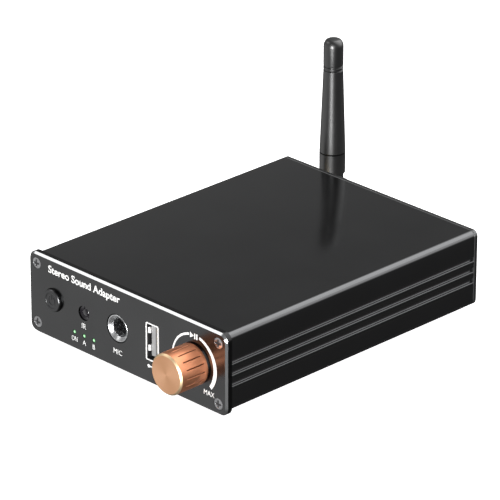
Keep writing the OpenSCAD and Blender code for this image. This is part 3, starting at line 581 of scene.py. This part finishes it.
def printed(outline, thickness, face_y):
    """A flat outline in X and Z as a thin plate in front of face_y: two copies of the loop and their middles.

    The loop's middle fans out to it on both sides, so the outline is one that its middle can see.
    """
    loop = np.asarray(outline, float)
    centre = loop.mean(0)
    rings = [centre[None] + 0 * loop, loop, loop, centre[None] + 0 * loop]
    depth = [face_y - thickness, face_y - thickness, face_y + 0.02, face_y + 0.02]
    return stacked(zip(rings, depth)), quads(4, len(loop))


def band(angles, inner, outer, centre, thickness, face_y):
    """A strip bent round a centre: at each angle a loop of the inner and outer radius, front and back."""
    angles = np.radians(angles)
    radii = np.stack(np.broadcast_arrays(inner, outer, outer, inner), -1) + 0 * angles[:, None]
    depth = np.array([face_y - thickness, face_y - thickness, face_y + 0.02, face_y + 0.02])
    x = centre[0] + radii * np.cos(angles)[:, None]
    z = centre[1] + radii * np.sin(angles)[:, None]
    points = np.stack([x, depth[None] + 0 * x, z], -1)
    first, last = (end.mean(1, keepdims=True) + 0 * end for end in (points[:1], points[-1:]))
    points = np.concatenate([first, points, last])
    return points.reshape(-1, 3), quads(len(points), 4)


def add_piece(name, shape, slot, body, replaced=(), finish=None, sharp=32):
    """Puts a shape's arrays, in millimetres, into a mesh object with its finish and body; the slot gives the finish
    when no other is named.
    """
    points, faces = shape
    mesh = bpy.data.meshes.new(name)
    mesh.from_pydata(np.asarray(points) * MM, [], np.asarray(faces))
    work = bmesh.new()
    work.from_mesh(mesh)
    bmesh.ops.remove_doubles(work, verts=work.verts, dist=1e-7)
    bmesh.ops.dissolve_degenerate(work, edges=work.edges, dist=1e-8)
    bmesh.ops.recalc_face_normals(work, faces=work.faces)
    work.to_mesh(mesh)
    work.free()
    if not mesh.polygons:
        raise RuntimeError(f"{name} has no faces")
    mesh.shade_smooth()
    mesh.set_sharp_from_angle(angle=math.radians(sharp))
    piece = bpy.data.objects.new(name, mesh)
    bpy.context.scene.collection.objects.link(piece)
    mesh.materials.append(FINISHES[finish or slot])
    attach(piece, body)
    if replaced:
        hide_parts(*replaced)
    return piece


def lettering(words, x, z, height, width=None, bold=0.02, anchor=0.0):
    """Words as a thin solid: the font's outline, its capitals `height` tall, drawn to `width`, on baseline z."""
    curve = bpy.data.curves.new("words", "FONT")
    curve.body, curve.offset, curve.extrude = words, bold, 0.5
    holder = bpy.data.objects.new("words", curve)
    bpy.context.scene.collection.objects.link(holder)
    bpy.context.view_layer.update()
    mesh = bpy.data.meshes.new_from_object(holder.evaluated_get(bpy.context.evaluated_depsgraph_get()))
    work = bmesh.new()
    work.from_mesh(mesh)
    bmesh.ops.triangulate(work, faces=work.faces)
    work.to_mesh(mesh)
    work.free()
    flat = np.zeros(len(mesh.vertices) * 3)
    mesh.vertices.foreach_get("co", flat)
    flat = flat.reshape(-1, 3)
    corner = np.zeros(len(mesh.loops), np.int32)
    mesh.loops.foreach_get("vertex_index", corner)
    bpy.data.objects.remove(holder)
    low, high = flat.min(0), flat.max(0)
    tall = height / CAPITAL
    wide = width / (high[0] - low[0]) if width else tall
    start = x - anchor * (high[0] - low[0]) * wide
    ink = bpy.context.scene.receiver.legend.ink / MM
    deep = FRONT + SUNK - (flat[:, 2] + 0.5) * (ink + SUNK)
    placed = np.column_stack([start + (flat[:, 0] - low[0]) * wide, deep, z + flat[:, 1] * tall])
    return placed, corner.reshape(-1, 3)


def add_print(name, shape):
    """A piece of the front plate's white print."""
    add_piece(name, shape, "white_plastic", "case", finish="print_and_highlight_white")


# ---- operators ----
class Build:
    """What all of the receiver's operators share."""

    bl_options = {"REGISTER", "UNDO"}

    def execute(self, context):
        self.build(context.scene.receiver)
        return {"FINISHED"}


class RECEIVER_OT_stage(Build, bpy.types.Operator):
    """White sweep, soft lights, surroundings and the camera"""

    bl_idname = "receiver.stage"
    bl_label = "Stage"

    def build(self, settings):
        studio = settings.studio
        scene = bpy.context.scene
        scene.view_settings.view_transform = "Standard"
        self.add_sweep()
        self.add_surroundings(scene, studio)
        for name, place, size, power, turn, colour in LIGHTS:
            self.add_light(name, place, size, power, turn, colour)
        self.add_camera(scene, studio)

    def add_sweep(self):
        """Floor and backdrop in one: a flat disc whose rim curves up, seen by the camera only."""
        profile = eased([(0, 0), (6000, 0), (6000, 5000)], 1500, 12, closed=False)
        points, faces = turned(profile, (0, 0), "Z", 64)
        mesh = bpy.data.meshes.new("sweep")
        mesh.from_pydata(points * MM, [], faces)
        finish = Finish("sweep_white", emission=1.0)
        soft = finish.noise(0.002, 1)
        finish.feed(finish.shader.inputs["Emission Color"], finish.mix(soft, (1.0, 1.0, 1.0), (1.02, 1.02, 1.02)))
        mesh.materials.append(finish.surface((0.9, 0.9, 0.9), 0.9))
        sweep = bpy.data.objects.new("sweep", mesh)
        bpy.context.scene.collection.objects.link(sweep)
        sweep.visible_glossy = sweep.visible_diffuse = sweep.visible_shadow = False

    def add_surroundings(self, scene, studio):
        """Grey surroundings with soft lighter sides, and darker below."""
        scene.world = bpy.data.worlds.new("surroundings")
        scene.world.use_nodes = True
        tree = Tree(scene.world.node_tree)
        level = studio.ambient
        towards = tree.node("ShaderNodeTexCoord", {}, {}, out="Generated")
        for direction, start, full, added in GLOWS:
            lean = tree.node(
                "ShaderNodeVectorMath", {"operation": "DOT_PRODUCT"}, {0: towards, 1: direction}, out="Value")
            level = tree.span(lean, start, full, 0.0, added) + level
        tree.feed(tree.nodes["Background"].inputs["Color"], level)

    def add_light(self, name, place, size, power, turn, colour):
        """A rectangle of light aimed at LOOK; the low fill casts no shadow, so the case doesn't block it."""
        data = bpy.data.lights.new(name, "AREA")
        data.shape, data.size, data.size_y, data.energy, data.color = "RECTANGLE", size[0], size[1], power, colour
        data.use_shadow = name != "fill"
        lamp = bpy.data.objects.new(name, data)
        lamp.location = place
        lamp.rotation_euler = (Vector(LOOK) * MM - Vector(place)).to_track_quat("-Z", "Y").to_euler()
        lamp.rotation_euler.rotate_axis("Z", math.radians(turn))
        bpy.context.scene.collection.objects.link(lamp)

    def add_camera(self, scene, studio):
        """The camera looks from its azimuth and elevation at the point LOOK, turned by its roll."""
        a, e = studio.azimuth, studio.elevation
        back = Vector((math.sin(a) * math.cos(e), -math.cos(a) * math.cos(e), math.sin(e)))
        data = bpy.data.cameras.new("camera")
        data.lens, data.sensor_width, data.clip_start, data.clip_end = studio.lens, 36, 0.05, 50
        camera = bpy.data.objects.new("camera", data)
        turn = (-back).to_track_quat("-Z", "Y").to_matrix().to_4x4()
        place = Matrix.Translation(Vector(LOOK) * MM + back * studio.distance)
        camera.matrix_world = place @ turn @ Matrix.Rotation(studio.roll, 4, "Z")
        scene.collection.objects.link(camera)
        scene.camera = camera


class RECEIVER_OT_finishes(Build, bpy.types.Operator):
    """Materials of every slot, put on the carried-over pieces"""

    bl_idname = "receiver.finishes"
    bl_label = "Finishes"

    def build(self, settings):
        FINISHES.update(make_finishes(settings.colours))
        for part in frame["record"]["subparts"]:
            node = frame["nodes"][part["node"]]
            for holder in node.material_slots:
                holder.material = FINISHES[part["material_slot"]]


class RECEIVER_OT_case_shell(Build, bpy.types.Operator):
    """Extruded case: its grooved outline carried from the front plate to the back plate"""

    bl_idname = "receiver.case_shell"
    bl_label = "Case"

    def build(self, settings):
        sizes = settings.case
        x, z = case_high[0], case_high[2] - MID
        deep, half, lip = sizes.depth / MM, sizes.height / MM / 2, sizes.lip / MM
        rib = 0.12
        centre = -0.15 + (np.arange(sizes.grooves) - (sizes.grooves - 1) / 2)[::-1] * sizes.pitch / MM
        steps = np.array([(0, half), (-deep, half), (-deep, rib - half), (rib - deep, -half), (-lip, -half),
                          (0, -half - lip)])
        ease = [0.14, 0.1, 0.06, 0.06, 0.05, 0.05]
        grooves = (steps[None] + np.stack([np.full(len(centre), x), centre], 1)[:, None]).reshape(-1, 2)
        right = np.vstack([[(x, z)], grooves, [(x, -z)]])
        eases = np.concatenate([[sizes.corner / MM], np.tile(ease, len(centre)), [sizes.corner / MM]])
        outline = eased(np.vstack([right, right[::-1] * (-1, 1)]), np.concatenate([eases, eases[::-1]]))
        inside = outline * ((x - 2.4) / x, (z - 1.4) / z)
        outline, inside = outline + (0, MID), inside + (0, MID)
        loops = [(outline, case_low[1]), (outline, case_high[1]), (inside, case_high[1]), (inside, case_low[1])]
        shape = stacked(loops), quads(4, len(outline), wrap_rows=True)
        add_piece("case_shell", shape, "anodised_case", "case", ["case_extrusion"])


class RECEIVER_OT_legends(Build, bpy.types.Operator):
    """White print on the front plate: title, labels, volume scale and symbols"""

    bl_idname = "receiver.legends"
    bl_label = "Legends"

    def build(self, settings):
        sizes = settings.legend
        bottom = MID - HALF_H
        tall, wide = sizes.title_height / MM, sizes.title_width / MM
        title = lettering(sizes.title, LEFT + 9.7, bottom + 24.0, tall, wide, 0.022)
        add_print("title_print", title)
        words = [lettering(text, LEFT + x, bottom + z, tall, wide, 0.0, 0.5) for text, x, z, tall, wide in LABELS]
        add_print("label_print", joined(words))
        ink = sizes.ink / MM
        knob_x, outer = (knob_low[0] + knob_high[0]) / 2, sizes.scale_radius / MM
        arcs = []
        for start, end in ((222, 104), (76, -40)):
            angles = np.linspace(start, end, 60)
            stroke = np.interp(angles, SCALE_ANGLES, SCALE_STROKES)
            arcs.append(band(angles, outer - stroke, np.full(60, outer), (knob_x, MID), ink, FRONT))
        add_print("volume_scale", joined(arcs))
        signs = [printed(np.array(loop) + (LEFT, bottom), ink, FRONT) for loop in SYMBOLS]
        add_print("symbol_print", joined(signs))


class RECEIVER_OT_volume_knob(Build, bpy.types.Operator):
    """Volume knob: a fluted barrel and a turned face"""

    bl_idname = "receiver.volume_knob"
    bl_label = "Volume knob"

    def build(self, settings):
        sizes = settings.knob
        centre = ((knob_low[0] + knob_high[0]) / 2, (knob_low[2] + knob_high[2]) / 2)
        full = knob_high[0] - centre[0]
        front, back = knob_low[1], knob_high[1]
        cut = sizes.chamfer / MM
        bore, recess = 4.2, 6.1
        hub, tip = FRONT - 5.5, front + 1.5
        rim = full - cut - 0.06
        outer = [(0, front + 0.15), (rim, front + 0.15), (rim, front), (full - cut, front), (full, front + cut),
                 (full, front + 2.5), (full, back - 0.9), (full, back)]
        outer = eased(outer, [0, 0, 0, 0.03, 0.1, 0, 0, 0.25], 5, closed=False)
        rows = np.arange(front + 2.4, back - 0.7, 0.12)
        flank = np.column_stack([np.full(len(rows), full), rows])
        keep_front, keep_back = outer[outer[:, 1] < front + 2.3], outer[outer[:, 1] > back - 0.6]
        inner = [(recess + 0.2, back), (recess, back - 0.2), (recess, hub), (bore, hub), (bore, tip), (0, tip)]
        profile = np.vstack([keep_front, flank, keep_back, inner])
        wide, deep = sizes.flute_width / MM / 2, sizes.flute_depth / MM
        pitch = TURN / sizes.flutes
        first, last = front + 2.75, back - 1.15

        def flute(angle, radius, height):
            """Radius less a rounded cut at every pitch, which runs out smoothly at both ends."""
            across = (np.mod(angle + pitch / 2, pitch) - pitch / 2) * full / wide
            along = np.clip(np.minimum(height - first, last - height) / 0.5, 0, 1) ** 0.5
            cut_in = np.clip(1 - across**2, 0, None) * along * deep
            return radius - cut_in * (radius > full - 0.5)

        barrel = turned(profile, centre, "Y", sizes.flutes * 40, flute)
        add_piece("knob_barrel", barrel, "copper_knob", "volume_knob", ["volume_knob"], sharp=40)
        pitch_r, swing = sizes.ring_pitch / MM, sizes.ring_depth / MM
        radius = np.linspace(0, full - cut - 0.08, int((full - cut) / pitch_r * 8))
        turned_face = front + 0.02 + swing * np.cos(radius * TURN / pitch_r)
        face = np.vstack([np.column_stack([radius, turned_face]), [(radius[-1], front + 0.14), (0, front + 0.14)]])
        add_piece("knob_face", turned(face, centre, "Y", 96), "copper_knob", "volume_knob", sharp=60)


class RECEIVER_OT_power_button(Build, bpy.types.Operator):
    """Power button: a dished cap with a cut edge, and its raised sign"""

    bl_idname = "receiver.power_button"
    bl_label = "Power button"

    def build(self, settings):
        centre = middle("power_button")[[0, 2]]
        front, back = button_low[1], button_high[1]
        full, flange = 3.95, button_high[0] - centre[0]
        shoulder = back - 0.95
        outline = [(0, front + 0.22), (2.55, front + 0.22), (2.85, front), (full - 0.25, front), (full, front + 0.25),
                   (full, shoulder), (flange, shoulder), (flange, back), (0, back)]
        cap = eased(outline, [0, 0.15, 0.1, 0.08, 0.12, 0.02, 0.1, 0.1, 0], 5, closed=False)
        add_piece("button_cap", turned(cap, centre, "Y", 96), "button_cap", "power_button", ["power_button"])
        ring = band(np.linspace(125, 415, 60), np.full(60, 1.3), np.full(60, 1.62), centre, 0.12, front + 0.22)
        bar = np.array([(-0.16, 0.35), (0.16, 0.35), (0.16, 1.9), (-0.16, 1.9)]) + centre
        sign = joined([ring, printed(bar, 0.12, front + 0.22)])
        add_piece("button_sign", sign, "button_cap", "power_button", finish="black_plastic")


class RECEIVER_OT_power_spring(Build, bpy.types.Operator):
    """Power switch spring: a closely turned coil"""

    bl_idname = "receiver.power_spring"
    bl_label = "Power switch spring"

    def build(self, settings):
        low, high = span("power_switch_spring")
        centre, wire, turns, travel = (low + high) / 2, 0.22, 5, 0.8
        coil = (high[0] - low[0]) / 2 - wire
        along = np.linspace(0, 1, turns * 32 + 1)[:, None]
        angle, round_wire = along * turns * TURN, np.linspace(0, TURN, 10, endpoint=False)[None]
        radius = coil + wire * np.cos(round_wire)
        y = low[1] + wire + (high[1] - low[1] - 2 * wire) * along + wire * np.sin(round_wire)
        tube = np.stack([centre[0] + radius * np.cos(angle), y, centre[2] + radius * np.sin(angle)], -1)
        ends = [tube[i:i + 1].mean(1, keepdims=True) + 0 * tube[i:i + 1] for i in (0, -2)]
        tube = np.concatenate([ends[0], tube[:-1], ends[1]])
        shape = tube.reshape(-1, 3), quads(*tube.shape[:2])
        piece = add_piece("power_spring_coil", shape, "spring_steel", "case", ["power_switch_spring"])
        long = high[1] - low[1]
        seat = (centre[0] * MM, high[1] * MM, centre[2] * MM)
        (long - travel) / long
        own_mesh(piece)


class RECEIVER_OT_screws(Build, bpy.types.Operator):
    """End screws: a domed head with a cross recess on a plain shank, and a dark cross by each recess as painted shade
    """

    bl_idname = "receiver.screws"
    bl_label = "Screws"

    def build(self, settings):
        for node, name, side in (("front_panel_screws", "front_screws", 1), ("back_panel_screws", "back_screws", -1)):
            low, high = span(node)
            head, shank = 2.0, 1.25
            face, tip = (low[1], high[1]) if side > 0 else (high[1], low[1])
            rows = [(r, 0.0) for r in np.arange(0, 1.85, 0.08)]
            long = abs(tip - face)
            outline = np.array(rows + [(head - 0.1, 0.0), (head, 0.12), (shank, 1.0), (shank, long), (0, long)])
            outline[:, 1] = face + side * outline[:, 1]

            def crossed(angle, radius, height):
                """Height of the domed face, less a cross: one axis within `half` and the other within `reach`."""
                half, reach, deep, crown = 0.36, 1.3, 0.65, 0.22
                u, v = abs(radius * np.cos(angle)), abs(radius * np.sin(angle))
                arm = np.clip((half - np.minimum(u, v)) / 0.12, 0, 1)
                arm = arm * np.clip((reach - np.maximum(u, v)) / 0.2, 0, 1)
                dome = crown * np.clip(1 - (radius / head) ** 2, 0, 1)
                return height + side * (deep * arm - dome) * (abs(height - face) < 0.01)

            places = [(x, z) for x in (low[0] + head, high[0] - head) for z in (low[2] + head, high[2] - head)]
            shapes = [turned(outline, place, "Y", 72, lift=crossed) for place in places]
            add_piece(name, joined(shapes), "black_screw", "case", [node], sharp=35)
            plus = [(0.4, 1.3), (0.4, 0.4), (1.3, 0.4), (1.3, -0.4), (0.4, -0.4), (0.4, -1.3)]
            plus = np.array(plus + [(-x, -z) for x, z in plus])
            # The dark crosses are painted shade: the front ones stand at the head's plane, over the recess; the back
            # ones are inside the head.
            level = face if side > 0 else face - 0.62
            marks = joined([printed(plus + place, 0.05, level) for place in places])
            add_piece(name + "_recess", marks, "black_screw", "case", finish="black_plastic")


class RECEIVER_OT_usb_socket(Build, bpy.types.Operator):
    """USB socket: a white rim on the shell's edge as a painted highlight, a dark sleeve inside it as painted shade,
    and two springs over the CAD shell's own
    """

    bl_idname = "receiver.usb_socket"
    bl_label = "USB socket"

    def build(self, settings):
        low, high = span("usb_shell")
        centre = (low + high) / 2
        half_x, half_z = (high[0] - low[0]) / 2, (high[2] - low[2]) / 2

        def frame_shape(outer, inner, y0, y1):
            """A rounded rectangular tube: the insets of its outer and inner outline, and its two ends."""
            rings = []
            for inset in (outer, inner):
                x, z = half_x - inset, half_z - inset
                ring = eased([(x, z), (x, -z), (-x, -z), (-x, z)], max(0.1, 0.6 - inset), 5)
                rings.append(ring + (centre[0], centre[2]))
            loops = [(rings[0], y0), (rings[0], y1), (rings[1], y1), (rings[1], y0)]
            return stacked(loops), quads(4, len(rings[0]), wrap_rows=True)

        # Painted highlight: the shell's front edge is drawn as a white rim in the print's finish, standing in for the
        # light it catches.
        rim = frame_shape(-0.04, 0.36, low[1] - 0.05, low[1] + 0.2)
        add_piece("usb_highlight_rim", rim, "nickel_shell", "case", finish="print_and_highlight_white")
        # Painted shade: a dark sleeve just inside the shell, where the socket's inside falls into shade.
        shade_lining = frame_shape(0.34, 0.39, low[1] + 0.25, low[1] + 11)
        add_piece("usb_shade_lining", shade_lining, "nickel_shell", "case", finish="black_plastic")
        springs = []
        for up in (3.6, -2.7):
            left = low[0] + 0.38
            bend = [(0, 0.6), (0.75, 1.0), (0.85, 2.2), (0, 3.6)]
            loop = eased(np.array(bend) + (left, low[1]), [0.05, 0.2, 0.3, 0.05], 4)
            levels = centre[2] + up + np.array([-1.05, 1.05])
            cap = loop.mean(0) + 0 * loop
            rings = [(cap, levels[0]), (loop, levels[0]), (loop, levels[1]), (cap, levels[1])]
            points = np.stack([np.column_stack([ring, np.full(len(ring), z)]) for ring, z in rings])
            springs.append((points.reshape(-1, 3), quads(4, len(loop))))
        add_piece("usb_springs", joined(springs), "nickel_shell", "case", finish="bright_rim")


class RECEIVER_OT_front_sockets(Build, bpy.types.Operator):
    """Microphone bush, the infrared lens over the CAD receiver's dome, and the light pipes' domes"""

    bl_idname = "receiver.front_sockets"
    bl_label = "Front sockets and lights"

    def build(self, settings):
        centre = middle("mic_jack_bush")[[0, 2]]
        front, back = bush_low[1], bush_high[1]
        bore, full = 3.2, bush_high[0] - centre[0]
        outline = [(full, back), (full, front), (full - 0.3, front), (bore, front + 0.95), (bore, back)]
        bush = eased(outline, [0.1, 0.22, 0.12, 0.35, 0.1], 8)
        shape = turned(np.vstack([bush, bush[:1]]), centre, "Y", 96)
        add_piece("microphone_bush", shape, "chrome_bush", "case", ["mic_jack_bush"], sharp=50)
        place = middle("ir_receiver")[0], MID
        depths = [(0, 0.6), (1.25, 1.2), (2.4, 0.5), (2.4, 2.6), (0, 2.6)]
        lens = eased(depths, [0, 0.5, 0.1, 0.1, 0], 8, closed=False) + (0, FRONT)
        add_piece("infrared_lens", turned(lens, place, "Y", 64), "ir_window", "case")
        low, high = span("light_pipes")
        radius = (high[2] - low[2]) / 2
        dome = [(0, low[1]), (radius * 0.6, low[1] + 0.04), (radius, low[1] + 0.28), (radius, high[1]), (0, high[1])]
        pipe = eased(dome, [0, 0.2, 0.1, 0.05, 0], 5, closed=False)
        places = np.linspace(low[0] + radius, high[0] - radius, 3)
        pipes = [turned(pipe, (x, (low[2] + high[2]) / 2), "Y", 32) for x in places]
        add_piece("light_pipe_domes", joined(pipes), "light_pipe", "case", ["light_pipes"])


class RECEIVER_OT_antenna(Build, bpy.types.Operator):
    """Antenna sleeve: a tapered tube with two rings and a flat dome, and the knurled coupling nut"""

    bl_idname = "receiver.antenna"
    bl_label = "Antenna"

    def build(self, settings):
        z0, z1 = sleeve_low[2], sleeve_high[2]
        full = (sleeve_high[0] - sleeve_low[0]) / 2
        tip, bore = 3.52, 2.6
        rings = z1 - 10 + np.array([-1.35, 0])
        groove = ((0, -0.34), (0.4, -0.16), (0.4, 0.16), (0, 0.34))
        cuts = [(tip - deep, ring + side) for ring in rings for deep, side in groove]
        outer = [(bore, z0), (full, z0), (full - 0.02, z0 + 0.6), (tip, rings[0] - 0.7), *cuts,
                 (tip, z1 - 1.9), (tip - 0.9, z1 - 0.35), (0, z1)]
        ease = [0, 0.3, 0.2, 0.2] + [0.08] * len(cuts) + [0.9, 0.8, 0]
        skin = eased(outer, ease, 6, closed=False)
        inner = [(0, z1 - 6), (bore, z1 - 6), (bore, z0)]
        sleeve = turned(np.vstack([skin, inner]), hinge[:2], "Z", 96)
        add_piece("antenna_sleeve_skin", sleeve, "antenna_plastic", "antenna_mast", ["antenna_sleeve"], sharp=40)
        low, high = span("antenna_coupling_nut")
        nut_full, grips = (high[2] - low[2]) / 2, 12
        outline = [(3.2, low[1]), (nut_full, low[1]), (nut_full, high[1]), (2.6, high[1]), (2.6, high[1] - 0.6),
                   (3.8, high[1] - 0.6), (3.8, high[1] - 1.3), (3.2, high[1] - 1.3)]
        body = eased(outline, [0.1, 0.35, 0.35, 0.1, 0.05, 0.05, 0.05, 0.05], 5)
        flank = np.linspace(low[1] + 0.5, high[1] - 0.5, 30)
        start = np.argmax(body[:, 1] > high[1] - 0.6)
        body = np.vstack([body[:start], np.column_stack([np.full(30, nut_full), flank]), body[start:]])

        def grip(angle, radius, height):
            """Radius less a round cut at every grip, which ends short of the nut's collar."""
            pitch = TURN / grips
            across = (np.mod(angle + pitch / 2, pitch) - pitch / 2) * nut_full / 0.75
            along = np.clip((high[1] - 2 - height) / 0.5, 0, 1)
            return radius - np.clip(1 - across**2, 0, None) * along * 0.4 * (radius > nut_full - 0.4)

        nut = turned(np.vstack([body, body[:1]]), hinge[[0, 2]], "Y", grips * 16, grip)
        add_piece("coupling_nut", nut, "brass_nut", "case", ["antenna_coupling_nut"], sharp=40)


class RECEIVER_OT_rear_sockets(Build, bpy.types.Operator):
    """Output barrels with rolled lips and shoulders"""

    bl_idname = "receiver.rear_sockets"
    bl_label = "Rear sockets"

    def build(self, settings):
        low, high = span("rca_barrels")
        full, wide = (high[2] - low[2]) / 2, (high[2] - low[2]) / 2 - 0.8
        bore, shoulder = 3.4, (BACK + 0.05, BACK + 0.9)
        outline = [(bore, low[1]), (wide, low[1]), (wide, shoulder[0]), (full, shoulder[0]), (full, shoulder[1]),
                   (wide, shoulder[1]), (wide, high[1] - 1.6), (wide - 0.12, high[1] - 1.45),
                   (wide - 0.12, high[1] - 1.1),
                   (wide, high[1] - 0.95), (wide, high[1]), (bore, high[1])]
        barrel = eased(outline, [0.05, 0.05, 0.05, 0.2, 0.2, 0.1, 0.05, 0.05, 0.05, 0.05, 0.3, 0.2], 5)
        loop = np.vstack([barrel, barrel[:1]])
        places = [low[0] + full, high[0] - full]
        barrels = [turned(loop, (x, MID), "Y", 72) for x in places]
        add_piece("output_barrels", joined(barrels), "nickel_shell", "case", ["rca_barrels"], sharp=40)


class RECEIVER_OT_feet(Build, bpy.types.Operator):
    """Four rubber feet with a soft edge, a ring and a dimple underneath"""

    bl_idname = "receiver.feet"
    bl_label = "Feet"

    def build(self, settings):
        low, high = span("rubber_feet")
        radius, top = 4.5, high[2]
        outline = [(0, 0.5), (1.2, 0.5), (1.5, 0), (2.9, 0), (3.05, 0.15), (3.25, 0.15), (3.4, 0), (radius - 0.4, 0),
                   (radius, top), (0, top)]
        foot = eased(outline, [0, 0.2, 0.2, 0.05, 0.05, 0.05, 0.05, 0.5, 0.15, 0], 5, closed=False)
        places = [(x, y) for x in (low[0] + radius, high[0] - radius) for y in (low[1] + radius, high[1] - radius)]
        feet = [turned(foot, place, "Z", 64) for place in places]
        add_piece("soft_feet", joined(feet), "foot_rubber", "case", ["rubber_feet"])


# ---- panel and registration ----
BUILDERS = (
    RECEIVER_OT_stage, RECEIVER_OT_finishes, RECEIVER_OT_case_shell, RECEIVER_OT_legends, RECEIVER_OT_volume_knob,
    RECEIVER_OT_power_button, RECEIVER_OT_power_spring, RECEIVER_OT_screws, RECEIVER_OT_usb_socket,
    RECEIVER_OT_front_sockets, RECEIVER_OT_antenna, RECEIVER_OT_rear_sockets, RECEIVER_OT_feet,
)


class RECEIVER_PT_build(bpy.types.Panel):
    """Buttons that build the receiver, and its settings"""

    bl_label = "Receiver"
    bl_idname = "RECEIVER_PT_build"
    bl_space_type = "VIEW_3D"
    bl_region_type = "UI"
    bl_category = "Receiver"

    def draw(self, context):
        column = self.layout.column(align=True)
        for builder in BUILDERS:
            column.operator(builder.bl_idname)
        settings = context.scene.receiver
        for group in (settings.case, settings.knob, settings.legend, settings.colours, settings.studio):
            box = self.layout.box()
            for key in group.bl_rna.properties.keys():
                if key not in {"rna_type", "name"}:
                    box.prop(group, key)


CLASSES = (CaseSizes, KnobSizes, LegendSizes, Colours, Studio, Settings, *BUILDERS, RECEIVER_PT_build)


def register():
    for item in CLASSES:
        bpy.utils.register_class(item)
    bpy.types.Scene.receiver = PointerProperty(type=Settings)


def unregister():
    del bpy.types.Scene.receiver
    for item in reversed(CLASSES):
        bpy.utils.unregister_class(item)


def main():
    """Builds the stage and every piece in order."""
    register()
    for builder in BUILDERS:
        group, name = builder.bl_idname.split(".")
        getattr(getattr(bpy.ops, group), name)()


if __name__ == "__main__":
    main()
